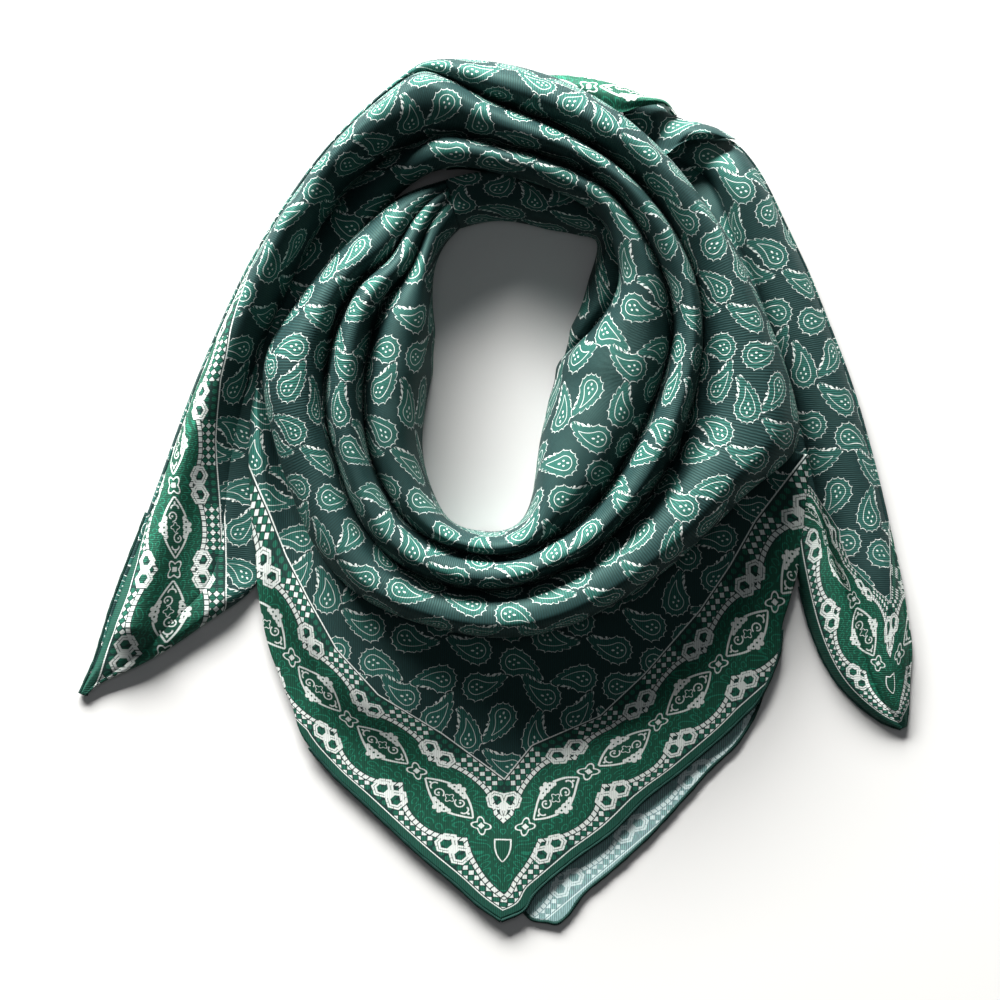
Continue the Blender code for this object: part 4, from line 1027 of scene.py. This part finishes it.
# ---------------------------------------------------------------- the right tail
RIGHT_ROWS = 240
RIGHT_FIELD_PLACE = (500.0, 410.0)
RIGHT_FLAT = ((-60.0, 70.0), (-48.0, 50.0), (-33.0, 30.0), (-22.0, 25.0))   # y, units laid flat
RIGHT_PACKED = ((-60.0, 1.2), (-48.0, 1.56), (-33.0, 3.1), (-22.0, 3.5))    # y, how tight past that
right = tail_rows(RIGHT_TAIL_SECTIONS, RIGHT_ROWS)
right = {key: averaged(value, 4) for key, value in right.items()}
right_grid, right_unit, right_crests, right_ends = roll_grid(
    right, (0.5, 0.55, 0.5), (10, 12, 8), TAIL_TUCK, np.full(RIGHT_ROWS, 1.5))
HEM_START = np.array((183.0, -106.7))
HEM_ALONG = np.array((-0.566, 0.825))


def right_tail_uv(grid, hem_x):
    """(a, b) of the right tail: a from the left hem, packed tighter beyond the fold; b along
    that hem, and from the mitre on, back down to the right hem."""
    x, y = grid[..., 0], grid[..., 1]
    from_hem = (x - hem_x) / UNIT
    up = np.clip((y - HEM_START[1]) / 59.0, 0.0, 1.0)
    flat = read(RIGHT_FLAT, y)
    a = np.minimum(from_hem, flat) * 1.1 + np.maximum(from_hem - flat, 0.0) * read(RIGHT_PACKED, y)
    a = a + np.maximum(y + 18.0, 0.0) * 4.0
    along = (grid[..., :2] - HEM_START) @ HEM_ALONG / UNIT * 1.26
    mitre_x = HEM_START[0] - 6.5 * up
    past = (mitre_x - x) / UNIT
    b = np.minimum(along, 107.0 * up + np.where(past > 0, 2.5, 1.3) * past)
    return np.stack([a, b], -1) * UNIT


right_tail = sheet_mesh(
    "right_tail_silk", right_grid, right_tail_uv(right_grid, right["inner"][:, None, 0]),
    roll_prints(right_grid, right_unit, right_crests, right_ends, (RIGHT_FIELD_PLACE,) * 3),
    roll_weave(right_grid, right_crests[1], 0), FACE)
right_layers = layers_body("folded_layers_of_the_right_tail", right_grid[46:-14], (0.3, 0.80), 0.45)

# ---------------------------------------------------------------- the neck layer
NECK_FOOT = 0.8             # mm, height of its lower edge
neck_azimuths = np.linspace(12.0, 106.0, 150)
neck = table_at(NECK_SECTIONS, NECK_COLUMNS, neck_azimuths, "azimuth")
hole, shoulder, neck_top, neck_height = (neck[key][:, None] for key in NECK_COLUMNS[1:])
w = (1.0 - np.cos(np.linspace(0, math.pi / 2, 22)))[None, :]
more = np.linspace(0, 1, 8)[None, 1:]
radii = np.concatenate([hole + (shoulder - hole) * w, shoulder + (neck_top - shoulder) * more], 1)
rises = np.concatenate([
    NECK_FOOT + (neck_height - NECK_FOOT) * (1 - (1 - w) ** 2.2) ** (1 / 1.2),
    neck_height + 0 * more], 1)
neck_grid = np.concatenate([ring_point(neck_azimuths[:, None] + 0 * radii, radii),
                            rises[..., None]], -1)
neck_uv = neck_grid[..., :2] + np.array((300.0, 320.0))
neck_uv += (lengths_along(neck_grid, 1) * 0.8)[..., None] * np.array((0.3, 0.8))
neck_sheet = sheet_mesh("neck_layer_silk", neck_grid, neck_uv, neck_uv, plain_weave(neck_grid),
                        FACE)

# ---------------------------------------------------------------- the front point
LEFT_START = ((-108.4, 46.0), (-110.2, 36.0), (-111.0, 24.0), (-111.2, 10.0))
CORNER = np.array((2.0, -193.5))
LEFT_HEM = np.array((-0.730, 0.683))
RIGHT_HEM = np.array((0.762, 0.648))
BASIS = np.linalg.inv(np.stack([LEFT_HEM, RIGHT_HEM], 1))
# how far along a hem from the corner, and how far the thin line runs from it, in border units
THIN_LEFT = ((0, 107), (107, 107), (183, 98), (254, 83), (316, 88), (371, 105), (420, 122),
             (466, 143), (513, 162), (700, 230))
THIN_RIGHT = ((0, 107), (107, 107), (151, 115), (219, 93), (280, 96), (365, 109), (419, 124),
              (469, 142), (544, 158), (700, 190))
left_line = dense(LEFT_START + POINT_OUTLINE_LEFT, 1.0)
right_line = dense(POINT_OUTLINE_RIGHT, 1.0)
outline = np.concatenate([left_line, right_line[1:]])
from_ring = outline - np.array(RING_CENTRE)
point_azimuths = np.degrees(np.arctan2(from_ring[:, 1], from_ring[:, 0])) % 360.0
rim = np.hypot(from_ring[:, 0], from_ring[:, 1])
lip = table_at(BAND_SECTIONS, BAND_COLUMNS, point_azimuths, "azimuth")["lip"]
start = np.minimum(lip - 9.0, rim - 4.0)        # its edge hidden under the band
ways = np.linspace(0, 1, 84)[None, :]
point_radii = start[:, None] + (rim - start)[:, None] * ways
heights = table_at(POINT_HEIGHTS, POINT_HEIGHT_COLUMNS, point_azimuths, "azimuth")
hidden = np.clip((lip + 1.0 - start) / (rim - start), 0.0, 0.9)[:, None]
levels = np.stack([heights[key] for key in POINT_HEIGHT_COLUMNS[1:]], 1)
place = np.clip((ways - hidden) / (1.0 - hidden), 0.0, 1.0) * 4.0
low = np.clip(place.astype(int), 0, 3)
rows = np.arange(len(levels))[:, None]
slopes = np.gradient(levels, axis=1)
z = cubic(place - low, 1.0, levels[rows, low], slopes[rows, low],
          levels[rows, low + 1], slopes[rows, low + 1])
point_grid = np.concatenate([ring_point(point_azimuths[:, None] + 0 * point_radii, point_radii),
                             z[..., None]], -1)


def slanted(plan, corner):
    """Coordinates along the left and the right hem from a corner."""
    return (plan - corner) @ BASIS.T[:, 0], (plan - corner) @ BASIS.T[:, 1]


def edge_shift(line, side, along):
    """How far the real edge lies outside the straight hem, by the place along it."""
    both = np.stack(slanted(line, CORNER), 1)
    far, out = both[:, side], both[:, 1 - side]
    order = np.argsort(far)
    return np.minimum(np.interp(along, far[order], out[order]), 0.0)


def with_border(here, line):
    """A coordinate in which the border is as wide as on the flat cloth."""
    return np.where(here < line, here * BORDER_WIDTH / line, BORDER_WIDTH + here - line)


def point_uv(plan):
    """(a, b) of the front point: slanted coordinates from its corner, with the border widened
    or narrowed so that its thin line runs where it was measured."""
    b, a = slanted(plan, CORNER)
    a, b = (a - edge_shift(left_line, 0, b) * smoothstep(21.0, 4.0, a),
            b - edge_shift(right_line, 1, a) * smoothstep(21.0, 4.0, b))
    return np.stack([with_border(a, read(np.array(THIN_LEFT) * UNIT, b)),
                     with_border(b, read(np.array(THIN_RIGHT) * UNIT, a))], -1)


point_plan = point_grid[..., :2]
front_point = sheet_mesh("front_point_silk", point_grid, point_uv(point_plan),
                         point_plan + np.array((20.0, 7.0)), point_plan, FACE)

# the layer under it, its hidden edge drawn toward a place under the band
UNDER_HEIGHT = 1.3
UNDER_CORNER = np.array((27.0, -194.6))
UNDER_INWARD = np.array((10.0, -40.0))
under_line = dense(UNDER_OUTLINE, 1.0)
under_ways = np.linspace(0, 1, 60)[None, :, None]
inner_target = under_line + (UNDER_INWARD - under_line) * 0.38
under_plan = inner_target[:, None] * (1 - under_ways) + under_line[:, None] * under_ways
under_grid = np.concatenate([under_plan, np.full_like(under_plan[..., :1], UNDER_HEIGHT)], -1)
under_b, under_a = slanted(under_plan, UNDER_CORNER)
under_uv = np.stack([under_a + 60.0, under_b], -1)
front_under = sheet_mesh("front_point_under_layer", under_grid, under_uv, under_uv, under_plan,
                         REVERSE)


# ---------------------------------------------------------------- the small folds
def fold_sheet(name, sections, shift):
    """A small arched fold: z = edges + (crest - edges) * (1 - |2 * way - 1|^2.2)."""
    at = table_at(sections, FOLD_COLUMNS, np.linspace(0.0, len(sections) - 1.0, 110))
    ways = (1 - np.cos(np.linspace(0, math.pi, 44)))[None, :] / 2
    far_x, far_y, near_x, near_y, far_z, crest, near_z = (at[key][:, None] for key in FOLD_COLUMNS)
    x = far_x + (near_x - far_x) * ways
    y = far_y + (near_y - far_y) * ways
    edges = far_z * (1 - ways) + near_z * ways
    z = edges + (crest - edges) * (1 - np.abs(2 * ways - 1) ** 2.2)
    grid = np.stack([x, y, z], -1)
    uv = np.stack([x + shift[0], far_y + shift[1] - lengths_along(grid, 1)], -1)
    return sheet_mesh(name, grid, uv, uv, plain_weave(grid), FACE)


upper_fold = fold_sheet("upper_back_fold", UPPER_FOLD, (300.0, -150.0))
lower_fold = fold_sheet("lower_back_fold", LOWER_FOLD, (310.0, 200.0))

# ---------------------------------------------------------------- rolled hems
left_edge = outline[(outline[:, 1] < -115.0) & (outline[:, 0] < 2.1)]
right_edge = outline[(outline[:, 0] > 1.9) & (outline[:, 1] < -62.0)]
hem_left = hem("front_point_hem_left", left_edge, 0.2, 2.9)
hem_right = hem("front_point_hem_right", right_edge, 0.2, 2.9)
hem_under = hem("under_layer_hem", under_line[8:], 0.2, 1.1)
hem_tail_left = hem("left_tail_hem", ribbon["outer"][BAND_ROWS + 118:], 0.4, 1.5)
hem_tail_right = hem("right_tail_hem", right["inner"][158:], 0.0, 1.4)

# ---------------------------------------------------------------- floor, light and camera
floor_mesh = bpy.data.meshes.new("floor")
floor_mesh.from_pydata([(-3, -3, 0), (3, -3, 0), (3, 3, 0), (-3, 3, 0)], [], [(0, 1, 2, 3)])
floor = bpy.data.objects.new("floor", floor_mesh)
bpy.context.scene.collection.objects.link(floor)
paper, _, paper_shader = make_material("white paper")
paper_shader["Base Color"].default_value = (0.65, 0.65, 0.65, 1.0)
paper_shader["Roughness"].default_value = 0.9
paper_shader["Specular IOR Level"].default_value = 0.1
floor_mesh.materials.append(paper)


def area_light(name, place, size, power, colour):
    """A soft light that faces the origin."""
    data = bpy.data.lights.new(name, "AREA")
    data.shape = "RECTANGLE"
    data.size, data.size_y = size
    data.energy = power
    data.color = colour
    light = bpy.data.objects.new(name, data)
    light.location = place
    x, y, z = place
    light.rotation_euler = (math.atan2(math.hypot(x, y), z), 0.0,
                            math.atan2(-y, -x) - math.pi / 2)
    bpy.context.scene.collection.objects.link(light)


area_light("key light", (-0.80, 2.90, 1.02), (2.6, 0.9), 620.0, (1.0, 0.99, 0.96))
area_light("overhead light", (0.0, 0.5, 2.6), (1.6, 1.6), 4.0, (0.94, 0.98, 1.0))

world = bpy.data.worlds.new("studio")
bpy.context.scene.world = world
world.use_nodes = True
background = world.node_tree.nodes["Background"].inputs
background["Color"].default_value = (0.95, 0.98, 1.0, 1.0)
background["Strength"].default_value = 0.065

CAMERA_HEIGHT, FRAME_WIDTH, SENSOR = 2.4, 0.450, 36.0      # m, m and mm
camera_data = bpy.data.cameras.new("camera")
camera_data.sensor_width = SENSOR
camera_data.lens = SENSOR * CAMERA_HEIGHT / FRAME_WIDTH
camera = bpy.data.objects.new("camera", camera_data)
camera.location = (0.0016, -0.0040, CAMERA_HEIGHT)
bpy.context.scene.collection.objects.link(camera)
bpy.context.scene.camera = camera
bpy.context.scene.view_settings.view_transform = "Standard"

# ---------------------------------------------------------------- what each piece is
ROLES = (
    (ribbon_piece, "silk_face", ("wound_band_left", "wound_band_front", "wound_band_right",
                                 "wound_band_top", "left_tail")),
    (right_tail, "silk_face", ("right_tail",)),
    (neck_sheet, "silk_face", ("neck_layer",)),
    (front_point, "silk_face", ("front_point",)),
    (front_under, "silk_reverse", ("front_point_under",)),
    (upper_fold, "silk_face", ("back_fold_upper",)),
    (lower_fold, "silk_face", ("back_fold_lower",)),
    (band_layers, "silk_inside", ("gathered_layers",)),
    (left_layers, "silk_inside", ("left_tail_layers",)),
    (right_layers, "silk_inside", ("right_tail_layers",)),
    (hem_left, "rolled_hem", ("hem_point_left",)),
    (hem_right, "rolled_hem", ("hem_point_right",)),
    (hem_under, "rolled_hem", ("hem_point_under",)),
    (hem_tail_left, "rolled_hem", ()),
    (hem_tail_right, "rolled_hem", ()),
)
for piece, slot, nodes in ROLES:
    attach(piece, "root")
    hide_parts(*nodes)
